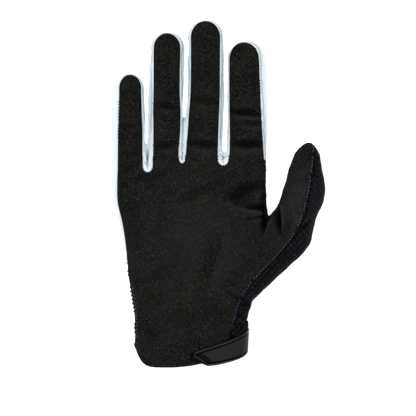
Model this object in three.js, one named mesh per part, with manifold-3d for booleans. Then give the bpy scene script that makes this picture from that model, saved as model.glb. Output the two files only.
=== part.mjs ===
// A riding glove for the right hand, lying on its back with the palm up and the thumb to the right.
// A suede palm is cut in one piece with the fronts of the fingers and thumb. A stretch back, three
// side strips between the fingers, a thumb back and a wrist back close it round the hand, and a strap
// with a moulded tab goes round the thumb side of the wrist.
// X runs from the little finger to the thumb, Y from the cuff to the fingertips and Z up, in
// millimetres. The hand's own frame starts at the middle of the cuff, and the finished group is moved
// so that its origin is the middle of the base.
import * as THREE from "three";
import { mergeVertices } from "three/addons/utils/BufferGeometryUtils.js";
import Module from "manifold-3d";

const wasm = await Module();
wasm.setup();

const degrees = THREE.MathUtils.degToRad;

// Palm and cuff
const PALM_LENGTH = 130; // from the cuff's edge to the crotches between the fingers
const PALM_DEPTH = 29; // at the thumb's root, where the palm is thickest
const KNUCKLE_DEPTH = 23;
const CUFF_WIDTH = 70;
const CUFF_DEPTH = 24;
const CUFF_CURVE = 12; // how far the cuff's edge stands back at its sides
const CUFF_LOW = -0.4; // where that edge is lowest, from -1 at the little finger's side to 1
const CUFF_BACK_LENGTH = 66; // of the wrist back, from the cuff's edge
const WEB_LENGTH = 9; // how far the webs reach between the fingers

// Fingers, each from the crotch line to its tip
const LITTLE_LENGTH = 59.5;
const RING_LENGTH = 86;
const MIDDLE_LENGTH = 93.5;
const INDEX_LENGTH = 80;
const LITTLE_WIDTH = 21;
const RING_WIDTH = 22.2;
const MIDDLE_WIDTH = 24;
const INDEX_WIDTH = 25;
const FINGER_DEPTH = 17;
const FINGER_CURL = 3.5; // how far a tip is raised off the floor
const FINGER_GAP = 1.6;
const FINGER_ROOT = 20; // how far a finger's tube starts inside the palm

// Thumb
const THUMB_REACH = 60; // across, from the middle of its root to its tip
const THUMB_RISE = 106.5; // along the hand, from its root to its tip
const THUMB_WIDTH = 27;
const THUMB_DEPTH = 23;
const THUMB_LIFT = 3; // of its tip off the floor

// Cloth and seams
const WALL = 1.5;
const SEAM_GAP = 0.3;
const SUEDE_HEIGHT = 10; // how low the suede reaches on the sides of the hand, above the floor
const STRIP_HEIGHT = 8; // how low the side strips reach between the fingers
const TIP_MARGIN = 2; // of back showing round a finger's front at its tip
const PALM_MARGIN = 2.2; // of back showing beside the palm
const WRIST_WRAP = 1; // how far the suede's outline passes the side of the wrist, to wrap round it

// Strap, pad and tab
const STRAP_WIDTH = 20;
const STRAP_THICKNESS = 1.5;
const PAD_THICKNESS = 1.2;
const TAB_THICKNESS = 1.4;
const TAB_RIM_HEIGHT = 0.6; // over the sunk border inside it
const TAB_FIELD_HEIGHT = 0.3; // of the flat field, over the same border
const SEAT_GAP = 0.3; // between a piece of the strap and what it lies on

// Where the strap's pieces start and end round the wrist, from 0 at its thumb side. On the palm side
// their ends are slanted, so that the edge nearer to the fingers reaches further round.
const STRAP_START = degrees(-112); // on the back of the wrist
const STRAP_END = degrees(40); // on the palm side, under the tab
const TAB_START = degrees(-18);
const TAB_TIP = degrees(87);
const TAB_SLANT = degrees(14);
const PAD_START = degrees(48);
const PAD_TIP = degrees(91);
const PAD_SLANT = degrees(12);

// How finely the surfaces are faceted
const PALM_SIDES = 36;
const PALM_STEPS = 20;
const FINGER_SIDES = 16;
const FINGER_STEPS = 6;
const THUMB_SIDES = 18;
const THUMB_STEPS = 11;
const TIP_STEPS = 4;
const ARC_STEPS = 8; // of the suede's round end on a finger
const EDGE_STEPS = 3; // of the suede's straight edge along a finger
const SEAM_STEPS = 12;
const INNER_SHARE = 0.6; // facets of an inner face for each one of its outer face

// How round a section is: 2 is an ellipse, and more is squarer
const SIDE_ROUNDNESS = 2.3;
const BACK_ROUNDNESS = 3.4;
const BACK_PRESS = 1.1; // how much of the back the floor presses flat
const WAIST = 0.42; // the height of a section's widest line, as a share of its depth
const CUFF_SQUARENESS = 4.5; // how sudden the cuff's rounded corner is beside the little finger
const CUFF_SLOPE = 2; // the same on the thumb's side, where the edge rises slowly
const WEB_TURN = degrees(78); // how far the webs' round edge closes, near a quarter turn
const TIP_TURN = degrees(84); // the same for the tips
const THUMB_ROUND = 0.3 * THUMB_WIDTH; // how long the thumb's round end is
const SMALL_TURN = degrees(2.3); // a step round a section that gives its direction
const SMALL_SHARE = 0.02; // the same along the thumb
const WELD = 1e-4; // points nearer than this are one
const BEYOND = 8; // how far a cutting solid reaches past what it cuts

const CUFF_HALF = CUFF_WIDTH / 2;
const KNUCKLE_WIDTH = LITTLE_WIDTH + RING_WIDTH + MIDDLE_WIDTH + INDEX_WIDTH + 3 * FINGER_GAP;
const KNUCKLE_CENTRE = -0.035 * CUFF_HALF; // the knuckles sit a little towards the little finger
const KNUCKLE_LEFT = KNUCKLE_WIDTH / 2 - KNUCKLE_CENTRE;
const KNUCKLE_RIGHT = KNUCKLE_WIDTH / 2 + KNUCKLE_CENTRE;
const STRAP_STACK = STRAP_THICKNESS + SEAT_GAP; // the wrist rests on the strap
const CEILING = 3 * PALM_DEPTH; // over everything

// Sections of the palm from the cuff to the webs, at shares of its length. Left and right are half
// widths, lift is the height of the underside, and curve is how far the sides stand back.
const PALM_ROWS = [
  {
    at: 0.0, left: 1.02 * CUFF_HALF, right: 0.92 * CUFF_HALF,
    depth: CUFF_DEPTH, lift: STRAP_STACK, curve: CUFF_CURVE,
  },
  {
    at: 0.12, left: 1.02 * CUFF_HALF, right: 0.92 * CUFF_HALF,
    depth: CUFF_DEPTH, lift: STRAP_STACK, curve: CUFF_CURVE,
  },
  {
    at: 0.22, left: 1.05 * CUFF_HALF, right: 0.93 * CUFF_HALF,
    depth: CUFF_DEPTH, lift: STRAP_STACK, curve: 0.6 * CUFF_CURVE,
  },
  {
    at: 0.3, left: 1.08 * CUFF_HALF, right: 1.03 * CUFF_HALF,
    depth: 0.88 * PALM_DEPTH, lift: STRAP_STACK, curve: 0.2 * CUFF_CURVE,
  },
  {
    at: 0.4, left: 0.8 * KNUCKLE_LEFT, right: 0.8 * KNUCKLE_RIGHT,
    depth: 0.96 * PALM_DEPTH, lift: 0.3 * STRAP_STACK, curve: 0,
  },
  { at: 0.58, left: 0.86 * KNUCKLE_LEFT, right: 0.9 * KNUCKLE_RIGHT, depth: PALM_DEPTH, lift: 0, curve: 0 },
  {
    at: 0.72, left: 0.93 * KNUCKLE_LEFT, right: 1.02 * KNUCKLE_RIGHT,
    depth: 0.93 * PALM_DEPTH, lift: 0, curve: 0,
  },
  {
    at: 0.82, left: 0.985 * KNUCKLE_LEFT, right: 1.01 * KNUCKLE_RIGHT,
    depth: KNUCKLE_DEPTH, lift: 0, curve: 0,
  },
  { at: 0.93, left: KNUCKLE_LEFT, right: KNUCKLE_RIGHT, depth: 0.92 * KNUCKLE_DEPTH, lift: 0, curve: 0 },
  {
    at: 1.0, left: 0.98 * KNUCKLE_LEFT, right: 0.98 * KNUCKLE_RIGHT,
    depth: 0.8 * KNUCKLE_DEPTH, lift: 0, curve: 0,
  },
];

// Sections of a finger, as shares of its length, width and depth. The root is inside the palm.
const FINGER_ROWS = [
  { at: -0.35, width: 0.84, depth: 0.94 },
  { at: 0.0, width: 0.98, depth: 1.04 },
  { at: 0.2, width: 1.0, depth: 0.98 },
  { at: 0.42, width: 1.0, depth: 1.0 },
  { at: 0.62, width: 0.98, depth: 0.94 },
  { at: 0.8, width: 0.95, depth: 0.96 },
  { at: 1.0, width: 0.93, depth: 0.92 },
];

// The fingers. Shift is how far the root stands to the right of an even spread, and lean how far the
// tip leans that way. Left and right are how much of the side strips shows beside the suede along
// the finger, and leftRoot and rightRoot at its root. All of them are shares of the width. Crotch is
// how far past the crotch line the suede's notch on the finger's thumb side ends.
const FINGERS = [
  {
    name: "little", length: LITTLE_LENGTH, width: LITTLE_WIDTH, shift: 0, lean: -0.07,
    leftRoot: 0.13, left: 0.21, rightRoot: 0.12, right: 0.12, crotch: -0.42 * WEB_LENGTH,
  },
  {
    name: "ring", length: RING_LENGTH, width: RING_WIDTH, shift: -0.05, lean: 0.06,
    leftRoot: 0.14, left: 0.14, rightRoot: 0.12, right: 0.12, crotch: 0.2 * WEB_LENGTH,
  },
  {
    name: "middle", length: MIDDLE_LENGTH, width: MIDDLE_WIDTH, shift: -0.05, lean: 0.07,
    leftRoot: 0.08, left: 0.09, rightRoot: 0.12, right: 0.1, crotch: 0.05 * WEB_LENGTH,
  },
  {
    name: "index", length: INDEX_LENGTH, width: INDEX_WIDTH, shift: 0, lean: -0.04,
    leftRoot: 0.1, left: 0.08, rightRoot: -0.04, right: 0.18, crotch: 0,
  },
];
const FULL_MARGIN = 0.4; // the share of a finger's length where its margins reach their full size

// Sections of the thumb along its path. Across and up are shares of the thumb's reach and rise, half
// is half its width and depth its depth there, as shares of its full ones, lift is the height of its
// underside as a share of the tip's, and seam is how far right of its middle the suede ends, as a
// share of half its width.
const THUMB_ROWS = [
  { at: 0.0, across: 0.0, up: 0.0, half: 0.4, depth: 0.98, lift: 0.75, seam: 1.2 },
  { at: 0.2, across: 0.3, up: 0.18, half: 0.49, depth: 1.08, lift: 0.5, seam: 0.3 },
  { at: 0.42, across: 0.63, up: 0.39, half: 0.58, depth: 1.1, lift: 0.3, seam: 0.36 },
  { at: 0.52, across: 0.78, up: 0.49, half: 0.6, depth: 1.05, lift: 0.3, seam: 0.32 },
  { at: 0.62, across: 0.88, up: 0.6, half: 0.52, depth: 0.98, lift: 0.4, seam: 0.3 },
  { at: 0.78, across: 0.97, up: 0.76, half: 0.48, depth: 0.96, lift: 0.6, seam: 0.15 },
  { at: 0.9, across: 1.0, up: 0.89, half: 0.38, depth: 0.85, lift: 0.8, seam: 0.3 },
  { at: 1.0, across: 1.01, up: 1.0, half: 0.28, depth: 0.7, lift: 1.0, seam: 0.3 },
];
const THUMB_ROOT = { x: 0.4 * CUFF_HALF, y: 0.277 * PALM_LENGTH };
const THUMB_CROTCH = { x: KNUCKLE_RIGHT, y: 0.76 * PALM_LENGTH };

// Folds pressed into the palm side, each along a straight line. The ends are shares of the right
// half of the knuckles and of the palm's length, and depth and width are shares of the wall.
const FOLDS = [
  { x0: 1.12, y0: 0.79, x1: 1.2, y1: 0.67, depth: 1.3, width: 1.9 },
  { x0: 1.04, y0: 0.75, x1: 0.97, y1: 0.68, depth: 1.0, width: 1.7 },
  { x0: 1.04, y0: 0.8, x1: 0.62, y1: 0.78, depth: 0.8, width: 2.2 },
  { x0: 0.95, y0: 0.72, x1: 0.45, y1: 0.7, depth: -0.5, width: 2.2 },
  { x0: 0.9, y0: 0.95, x1: 0.5, y1: 0.94, depth: 0.5, width: 2.2 },
  { x0: -0.2, y0: 0.97, x1: -0.75, y1: 0.93, depth: 0.5, width: 2.4 },
];

// The edges of the strap and of its tab on the palm side, as shares of the strap's width from the
// cuff's edge. They are given in from the side of the wrist, as a share of the way to its middle.
const STRAP_ROWS = [
  { at: 0.0, low: 0.55, high: 1.55, tabLow: 0.53, tabHigh: 1.3 },
  { at: 0.1, low: 0.36, high: 1.28, tabLow: 0.35, tabHigh: 1.14 },
  { at: 0.3, low: 0.23, high: 1.0, tabLow: 0.21, tabHigh: 0.95 },
  { at: 0.6, low: 0.13, high: 0.78, tabLow: 0.12, tabHigh: 0.76 },
  { at: 1.0, low: 0.1, high: 0.55, tabLow: 0.1, tabHigh: 0.53 },
];

// The tab's levels: how far in from each end, as a share of its length, and from each long edge, as
// a share of its width, the rim and the sunk border inside it reach.
const TAB_LEVELS = [
  { name: "rim", fromEnd: 0.03, fromEdge: 0.11, height: TAB_RIM_HEIGHT },
  { name: "border", fromEnd: 0.09, fromEdge: 0.2, height: 0 },
  { name: "field", fromEnd: 1, fromEdge: 1, height: TAB_FIELD_HEIGHT },
];
const LEVEL_STEP = 0.01; // how suddenly one level ends and the next starts

// A signed power, which squares off a sine or cosine.
function squared(value, roundness) {
  return Math.sign(value) * Math.abs(value) ** (2 / roundness);
}

// The number of facets on an outer face, or on the coarser inner face of the wall.
function facets(count, inset) {
  return inset > 0 ? Math.round(count * INNER_SHARE) : count;
}

// One column of a table at a place between its rows, on a smooth curve through them.
function between(rows, key, place) {
  const last = rows.length - 1;
  const at = THREE.MathUtils.clamp(place, rows[0].at, rows[last].at);
  let i = 0;
  while (i < last - 1 && at > rows[i + 1].at) i += 1;
  const slope = (j) => {
    const a = rows[Math.max(j - 1, 0)];
    const b = rows[Math.min(j + 1, last)];
    return (b[key] - a[key]) / (b.at - a.at);
  };
  const span = rows[i + 1].at - rows[i].at;
  const t = (at - rows[i].at) / span;
  const rise = rows[i + 1][key] - rows[i][key];
  const steady = slope(i) * span;
  const ending = slope(i + 1) * span;
  return (
    rows[i][key] +
    t * steady +
    t * t * (3 * rise - 2 * steady - ending) +
    t * t * t * (steady + ending - 2 * rise)
  );
}

// How deep the folds are at a place on the palm side. Inside the wall they are wider.
function foldDepth(x, y, inset) {
  let depth = 0;
  for (const fold of FOLDS) {
    const start = new THREE.Vector2(fold.x0 * KNUCKLE_RIGHT, fold.y0 * PALM_LENGTH);
    const along = new THREE.Vector2(fold.x1 * KNUCKLE_RIGHT, fold.y1 * PALM_LENGTH).sub(start);
    const to = new THREE.Vector2(x, y).sub(start);
    const share = THREE.MathUtils.clamp(to.dot(along) / along.lengthSq(), 0, 1);
    const away = to.addScaledVector(along, -share).length() / (fold.width * WALL + inset);
    depth += fold.depth * WALL * Math.exp(-away * away);
  }
  return depth;
}

// How far along the hand a point stands back from the lowest point of the cuff's edge.
function cuffCurve(curve, sideways) {
  const side = sideways < CUFF_LOW ? -1 : 1;
  const share = (sideways - CUFF_LOW) / (side - CUFF_LOW);
  return curve * share ** (side < 0 ? CUFF_SQUARENESS : CUFF_SLOPE);
}

// A section's point at an angle: how far sideways it is, and its height. Inset moves it inwards by
// the wall's thickness. The back is squarer than the palm side, and pressed flat.
function sectionPoint({ left, across, depth, lift }, angle, inset) {
  const sideways = squared(Math.cos(angle), SIDE_ROUNDNESS);
  const upwards = Math.sin(angle);
  const under = depth * WAIST - inset;
  const over = depth * (1 - WAIST) - inset;
  const height =
    upwards > 0
      ? over * squared(upwards, SIDE_ROUNDNESS)
      : Math.max(under * BACK_PRESS * squared(upwards, BACK_ROUNDNESS), -under);
  const half = (sideways > 0 ? across : left) - inset;
  return { sideways, upwards, across: half * sideways, z: lift + depth * WAIST + height };
}

function wristPoint(section, angle) {
  const { across, z } = sectionPoint(section, angle, 0);
  return new THREE.Vector3(across, 0, z);
}

// One section: points round a middle point, wide along the direction that right gives and high
// along Z.
function sectionRing({ middle, right, curve = 0, sides, inset = 0, ...section }) {
  const ring = [];
  for (let i = 0; i < sides; i += 1) {
    const at = sectionPoint(section, (2 * Math.PI * i) / sides, inset);
    const point = middle.clone().addScaledVector(right, at.across);
    point.y += cuffCurve(curve, at.sideways);
    point.z = at.z;
    if (at.upwards > 0) point.z -= foldDepth(point.x, point.y, inset) * Math.min(1, 1.5 * at.upwards);
    ring.push(point);
  }
  return ring;
}

// A closed solid from a list of corner points and the triangles between them, turned so that its
// faces point outwards.
function facingOut(points, triangles) {
  const solid = solidFrom(points, triangles);
  return solid.volume() > 0 ? solid : solidFrom(points, triangles.toReversed());
}

function solidFrom(points, triangles) {
  const geometry = new THREE.BufferGeometry().setFromPoints(points);
  geometry.setIndex(triangles);
  return solidOf(geometry);
}

function solidOf(geometry) {
  const bare = geometry.clone();
  bare.deleteAttribute("normal");
  bare.deleteAttribute("uv");
  const merged = mergeVertices(bare, WELD);
  return new wasm.Manifold(
    new wasm.Mesh({
      numProp: 3,
      vertProperties: merged.attributes.position.array,
      triVerts: new Uint32Array(merged.index.array),
    }),
  );
}

// A solid through a list of rings that all have as many points, closed by a fan at each end.
function loft(rings) {
  const sides = rings[0].length;
  const points = rings.flat();
  const triangles = [];
  for (let r = 0; r < rings.length - 1; r += 1) {
    for (let i = 0; i < sides; i += 1) {
      const a = r * sides + i;
      const b = r * sides + ((i + 1) % sides);
      triangles.push(a, b, a + sides, b, b + sides, a + sides);
    }
  }
  for (const end of [0, rings.length - 1]) {
    const ring = rings[end];
    const centre = ring.reduce((sum, p) => sum.add(p), new THREE.Vector3()).divideScalar(sides);
    points.push(centre);
    for (let i = 0; i < sides; i += 1) {
      const a = end * sides + i;
      const b = end * sides + ((i + 1) % sides);
      if (end === 0) triangles.push(b, a, points.length - 1);
      else triangles.push(a, b, points.length - 1);
    }
  }
  return facingOut(points, triangles);
}

// The palm's section at a distance along it from the cuff.
function palmSection(station) {
  const at = station / PALM_LENGTH;
  return {
    middle: new THREE.Vector3(0, station, 0),
    right: new THREE.Vector3(1, 0, 0),
    left: between(PALM_ROWS, "left", at),
    across: between(PALM_ROWS, "right", at),
    depth: between(PALM_ROWS, "depth", at),
    lift: Math.max(between(PALM_ROWS, "lift", at), 0),
    curve: between(PALM_ROWS, "curve", at),
  };
}

function palmSolid(inset) {
  const rings = [];
  const sides = facets(PALM_SIDES, inset);
  const steps = facets(PALM_STEPS, inset);
  const tipSteps = facets(TIP_STEPS, inset);
  if (inset > 0) rings.push(sectionRing({ ...palmSection(-BEYOND), sides, inset }));
  for (let i = 0; i <= steps; i += 1) {
    rings.push(sectionRing({ ...palmSection((i / steps) * PALM_LENGTH), sides, inset }));
  }
  const end = palmSection(PALM_LENGTH);
  for (let i = 1; i <= tipSteps; i += 1) {
    const turn = (i / tipSteps) * WEB_TURN;
    const depth = end.depth * Math.cos(turn);
    rings.push(
      sectionRing({
        ...end,
        middle: new THREE.Vector3(0, PALM_LENGTH + (WEB_LENGTH - inset) * Math.sin(turn), 0),
        depth,
        lift: WAIST * (end.depth - depth),
        sides,
        inset: Math.min(inset, 0.4 * depth * WAIST),
      }),
    );
  }
  return loft(rings);
}

// Where each finger's middle is at its root, worked out from the widths.
function fingerCentre(index) {
  let x = KNUCKLE_CENTRE - KNUCKLE_WIDTH / 2 + index * FINGER_GAP + FINGERS[index].width / 2;
  for (const finger of FINGERS.slice(0, index)) x += finger.width;
  return x + FINGERS[index].shift * FINGERS[index].width;
}

// A finger's middle line and half width at a share of its length from the crotch line.
function fingerAt(index, share) {
  const finger = FINGERS[index];
  return {
    x: fingerCentre(index) + finger.lean * finger.width * share,
    y: PALM_LENGTH + finger.length * share,
    half: (finger.width / 2) * between(FINGER_ROWS, "width", share),
  };
}

function fingerSolid(index, inset) {
  const finger = FINGERS[index];
  const round = (0.5 * finger.width) / finger.length;
  const sides = facets(FINGER_SIDES, inset);
  const steps = facets(FINGER_STEPS, inset);
  const tipSteps = facets(TIP_STEPS, inset);
  const rings = [];
  const add = (share, closing) => {
    const { x, y, half } = fingerAt(index, share);
    const full = FINGER_DEPTH * between(FINGER_ROWS, "depth", share);
    const curl = FINGER_CURL * Math.max(0, share) ** 2;
    const depth = Math.max(full * closing, 3 * inset);
    const width = Math.max(half * closing, 1.5 * inset);
    rings.push(
      sectionRing({
        middle: new THREE.Vector3(x, y, 0),
        right: new THREE.Vector3(1, 0, 0),
        left: width,
        across: width,
        depth,
        lift: curl + WAIST * (full - depth),
        sides,
        inset,
      }),
    );
  };
  add(-FINGER_ROOT / finger.length, 1);
  for (let i = 0; i <= steps; i += 1) add((i / steps) * (1 - round), 1);
  const end = round - inset / finger.length;
  for (let i = 1; i <= tipSteps; i += 1) {
    const turn = (i / tipSteps) * TIP_TURN;
    add(1 - round + end * Math.sin(turn), Math.cos(turn));
  }
  return loft(rings);
}

// The thumb's middle line, its sideways direction and its size at a share of its path.
function thumbAt(share) {
  const place = (at) =>
    new THREE.Vector3(
      THUMB_ROOT.x + THUMB_REACH * between(THUMB_ROWS, "across", at),
      THUMB_ROOT.y + THUMB_RISE * between(THUMB_ROWS, "up", at),
      0,
    );
  const ahead = place(Math.min(share + SMALL_SHARE, 1)).sub(place(Math.max(share - SMALL_SHARE, 0)));
  ahead.normalize();
  return {
    middle: place(share),
    right: new THREE.Vector3(ahead.y, -ahead.x, 0),
    half: THUMB_WIDTH * between(THUMB_ROWS, "half", share),
    depth: THUMB_DEPTH * between(THUMB_ROWS, "depth", share),
    lift: THUMB_LIFT * between(THUMB_ROWS, "lift", share),
    seam: between(THUMB_ROWS, "seam", share),
  };
}

function thumbSolid(inset) {
  const round = THUMB_ROUND / Math.hypot(THUMB_REACH, THUMB_RISE);
  const sides = facets(THUMB_SIDES, inset);
  const steps = facets(THUMB_STEPS, inset);
  const tipSteps = facets(TIP_STEPS, inset);
  const rings = [];
  const add = (share, closing) => {
    const at = thumbAt(share);
    const depth = Math.max(at.depth * closing, 3 * inset);
    const half = Math.max(at.half * closing, 1.5 * inset);
    rings.push(
      sectionRing({
        middle: at.middle,
        right: at.right,
        left: half,
        across: half,
        depth,
        lift: at.lift + WAIST * (at.depth - depth),
        sides,
        inset,
      }),
    );
  };
  for (let i = 0; i <= steps; i += 1) add((i / steps) * (1 - round), 1);
  const end = round * (1 - inset / THUMB_ROUND);
  for (let i = 1; i <= tipSteps; i += 1) {
    const turn = (i / tipSteps) * TIP_TURN;
    add(1 - round + end * Math.sin(turn), Math.cos(turn));
  }
  return loft(rings);
}

// The whole glove as one shell, before it is cut into its panels.
function gloveShell() {
  const whole = (inset) =>
    FINGERS.reduce((solid, _, i) => solid.add(fingerSolid(i, inset)), palmSolid(inset)).add(
      thumbSolid(inset),
    );
  return whole(0).subtract(whole(WALL));
}

// A tall prism over an outline of points in the XY plane, from one height to another.
function prism(outline, low, high) {
  const shape = new THREE.Shape(outline);
  const geometry = new THREE.ExtrudeGeometry(shape, { depth: high - low, bevelEnabled: false });
  geometry.translate(0, 0, low);
  return solidOf(geometry);
}

// The thumb's seam, from its tip down to the cuff, moved to the right by grow.
function thumbSeam(grow) {
  const points = [];
  const start = 0.97;
  const end = 0.14;
  for (let i = 0; i <= SEAM_STEPS; i += 1) {
    const at = thumbAt(start + ((end - start) * i) / SEAM_STEPS);
    const point = at.middle.clone().addScaledVector(at.right, at.seam * at.half + grow);
    points.push(new THREE.Vector2(point.x, point.y));
  }
  points.push(new THREE.Vector2(0.7 * CUFF_HALF + grow, 0.19 * PALM_LENGTH));
  points.push(new THREE.Vector2(0.68 * CUFF_HALF + grow, -BEYOND));
  return points;
}

const THUMB_TOP = THUMB_ROOT.y + THUMB_RISE + BEYOND;
const GAP_X = THUMB_CROTCH.x + 0.16 * THUMB_REACH; // inside the open gap beside the index finger
const GAP_FOOT = 0.99 * PALM_LENGTH; // where the outline crosses that gap
const NOTCH_SIDE = WEB_LENGTH / 3; // from the bottom of a notch between fingers to its straight sides
const NOTCH_ROUND = WEB_LENGTH / 18; // how much its rounded corners rise

// How much of a side strip shows beside a finger's suede, on its left side (-1) or right side (1).
function marginAt(finger, side, share) {
  const [root, full] = side < 0 ? [finger.leftRoot, finger.left] : [finger.rightRoot, finger.right];
  return finger.width * (root + (full - root) * THREE.MathUtils.smoothstep(share, 0, FULL_MARGIN));
}

// The outline of the suede, made larger all round by grow.
function frontOutline(grow) {
  const points = [];
  for (const row of PALM_ROWS.slice(0, -1)) {
    const margin = row.at * PALM_LENGTH < CUFF_BACK_LENGTH ? -WRIST_WRAP : PALM_MARGIN;
    points.push(new THREE.Vector2(-row.left + margin - grow, row.at * PALM_LENGTH + row.curve));
  }
  points.unshift(new THREE.Vector2(points[0].x, -BEYOND));
  FINGERS.forEach((finger, index) => {
    const round = (0.5 * finger.width) / finger.length;
    const sideAt = (share, side) => {
      const at = fingerAt(index, share);
      const reach = at.half - marginAt(finger, side, share) + grow;
      return new THREE.Vector2(at.x + side * reach, at.y);
    };
    const notchFrom = index > 0 ? FINGERS[index - 1].crotch : 0;
    const low = [notchFrom, finger.crotch].map((crotch) => (crotch + NOTCH_SIDE) / finger.length);
    for (let i = 0; i <= EDGE_STEPS; i += 1) {
      points.push(sideAt(low[0] + ((1 - round - low[0]) * i) / EDGE_STEPS, -1));
    }
    const left = sideAt(1 - round, -1);
    const right = sideAt(1 - round, 1);
    const tipY = PALM_LENGTH + finger.length - TIP_MARGIN + grow;
    for (let i = 1; i < ARC_STEPS; i += 1) {
      const turn = Math.PI * (1 - i / ARC_STEPS);
      points.push(
        new THREE.Vector2(
          (left.x + right.x) / 2 + ((right.x - left.x) / 2) * Math.cos(turn),
          left.y + (tipY - left.y) * Math.sin(turn),
        ),
      );
    }
    for (let i = EDGE_STEPS; i >= 0; i -= 1) {
      points.push(sideAt(low[1] + ((1 - round - low[1]) * i) / EDGE_STEPS, 1));
    }
    if (index < FINGERS.length - 1) {
      const from = points[points.length - 1];
      const next = fingerAt(index + 1, 0);
      const toX = next.x - next.half + marginAt(FINGERS[index + 1], -1, 0) - grow;
      const bottom = PALM_LENGTH + finger.crotch + grow;
      for (const [share, rise] of [[0.25, NOTCH_ROUND], [0.5, 0], [0.75, NOTCH_ROUND]]) {
        points.push(new THREE.Vector2(from.x + share * (toX - from.x), bottom + rise));
      }
    }
  });
  points.push(new THREE.Vector2(GAP_X, GAP_FOOT + grow));
  points.push(new THREE.Vector2(GAP_X, THUMB_TOP));
  points.push(new THREE.Vector2(thumbSeam(grow)[0].x, THUMB_TOP));
  points.push(...thumbSeam(grow));
  return points;
}

// The part of the hand that the thumb's back covers, seen from above, made larger by grow.
function thumbBackOutline(grow) {
  return [
    new THREE.Vector2(0.62 * CUFF_HALF - grow, -BEYOND),
    new THREE.Vector2(0.62 * CUFF_HALF - grow, 0.26 * PALM_LENGTH),
    new THREE.Vector2(0.7 * THUMB_CROTCH.x - grow, 0.5 * PALM_LENGTH),
    new THREE.Vector2(0.97 * THUMB_CROTCH.x - grow, THUMB_CROTCH.y - 0.02 * PALM_LENGTH + grow),
    new THREE.Vector2(GAP_X, GAP_FOOT - SEAM_GAP),
    new THREE.Vector2(GAP_X, THUMB_TOP),
    new THREE.Vector2(THUMB_ROOT.x + 2 * THUMB_REACH, THUMB_TOP),
    new THREE.Vector2(THUMB_ROOT.x + 2 * THUMB_REACH, -BEYOND),
  ];
}

// The strip between one finger and the next, seen from above, made larger by grow.
function stripOutline(index, grow) {
  const low = PALM_LENGTH - 1.3 * WEB_LENGTH - grow;
  const top = PALM_LENGTH + Math.max(FINGERS[index].length, FINGERS[index + 1].length) + BEYOND;
  const centreLine = (i, y, side) => {
    const share = (y - PALM_LENGTH) / FINGERS[i].length;
    return new THREE.Vector2(fingerAt(i, share).x + side * grow, y);
  };
  return [
    centreLine(index, low, -1),
    centreLine(index + 1, low, 1),
    centreLine(index + 1, top, 1),
    centreLine(index, top, -1),
  ];
}

// A point a height above the wrist's cloth, at an angle round it from the thumb side, and a distance
// along the hand from the cuff's edge.
function onWrist(angle, along, height) {
  const section = palmSection(along);
  const point = wristPoint(section, angle);
  const round = wristPoint(section, angle + SMALL_TURN).sub(wristPoint(section, angle - SMALL_TURN));
  round.normalize();
  const outward = new THREE.Vector3(round.z, 0, -round.x);
  point.y = along;
  return point.addScaledVector(outward, height);
}

// A sheet that lies on the wrist. Columns run round it and rows along it, and place gives the angle
// round, the distance along and the heights of both faces for each of them.
function sheetOnWrist(columns, rows, place) {
  const points = [];
  const nodes = columns * rows;
  for (const face of ["low", "high"]) {
    for (let c = 0; c < columns; c += 1) {
      for (let r = 0; r < rows; r += 1) {
        const at = place(c, r);
        points.push(onWrist(at.angle, at.along, at[face]));
      }
    }
  }
  const triangles = [];
  const quad = (a, b, c, d) => triangles.push(a, b, c, a, c, d);
  const id = (face, c, r) => face * nodes + c * rows + r;
  for (let c = 0; c < columns - 1; c += 1) {
    for (let r = 0; r < rows - 1; r += 1) {
      quad(id(0, c, r), id(0, c, r + 1), id(0, c + 1, r + 1), id(0, c + 1, r));
      quad(id(1, c, r), id(1, c + 1, r), id(1, c + 1, r + 1), id(1, c, r + 1));
    }
    quad(id(0, c, 0), id(0, c + 1, 0), id(1, c + 1, 0), id(1, c, 0));
    quad(id(0, c + 1, rows - 1), id(0, c, rows - 1), id(1, c, rows - 1), id(1, c + 1, rows - 1));
  }
  const last = columns - 1;
  for (let r = 0; r < rows - 1; r += 1) {
    quad(id(0, 0, r + 1), id(0, 0, r), id(1, 0, r), id(1, 0, r + 1));
    quad(id(0, last, r), id(0, last, r + 1), id(1, last, r + 1), id(1, last, r));
  }
  return facingOut(points, triangles);
}

// How far a place on the palm side of the wrist is in from the thumb side, as a share of the way to
// its middle, and 0 on the back.
function inward(angle) {
  return Math.sin(angle) > 0 ? 1 - squared(Math.cos(angle), SIDE_ROUNDNESS) : 0;
}

// A distance along the hand between two columns of the strap's table. Across is 0 at the lower edge
// and 1 at the upper one.
function strapAlong(angle, across, lowKey, highKey) {
  const low = between(STRAP_ROWS, lowKey, inward(angle));
  const high = between(STRAP_ROWS, highKey, inward(angle));
  return STRAP_WIDTH * (low + (high - low) * across);
}

// The angle round the wrist at a share of a piece's length. Its far end is slanted.
function slantedAngle(start, tip, slant, share, across) {
  return start + (tip - start) * share - slant * share ** 4 * (1 - across);
}

function strapSolid() {
  const columns = 30;
  const rows = 4;
  return sheetOnWrist(columns, rows, (c, r) => {
    const angle = STRAP_START + ((STRAP_END - STRAP_START) * c) / (columns - 1);
    const along = strapAlong(angle, r / (rows - 1), "low", "high");
    return { angle, along, low: SEAT_GAP, high: SEAT_GAP + STRAP_THICKNESS };
  });
}

function padSolid() {
  const columns = 10;
  const rows = 3;
  const top = SEAT_GAP + STRAP_THICKNESS;
  return sheetOnWrist(columns, rows, (c, r) => {
    const across = r / (rows - 1);
    const angle = slantedAngle(PAD_START, PAD_TIP, PAD_SLANT, c / (columns - 1), across);
    const along = strapAlong(angle, across, "tabLow", "tabHigh");
    return { angle, along, low: top - PAD_THICKNESS, high: top };
  });
}

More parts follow.
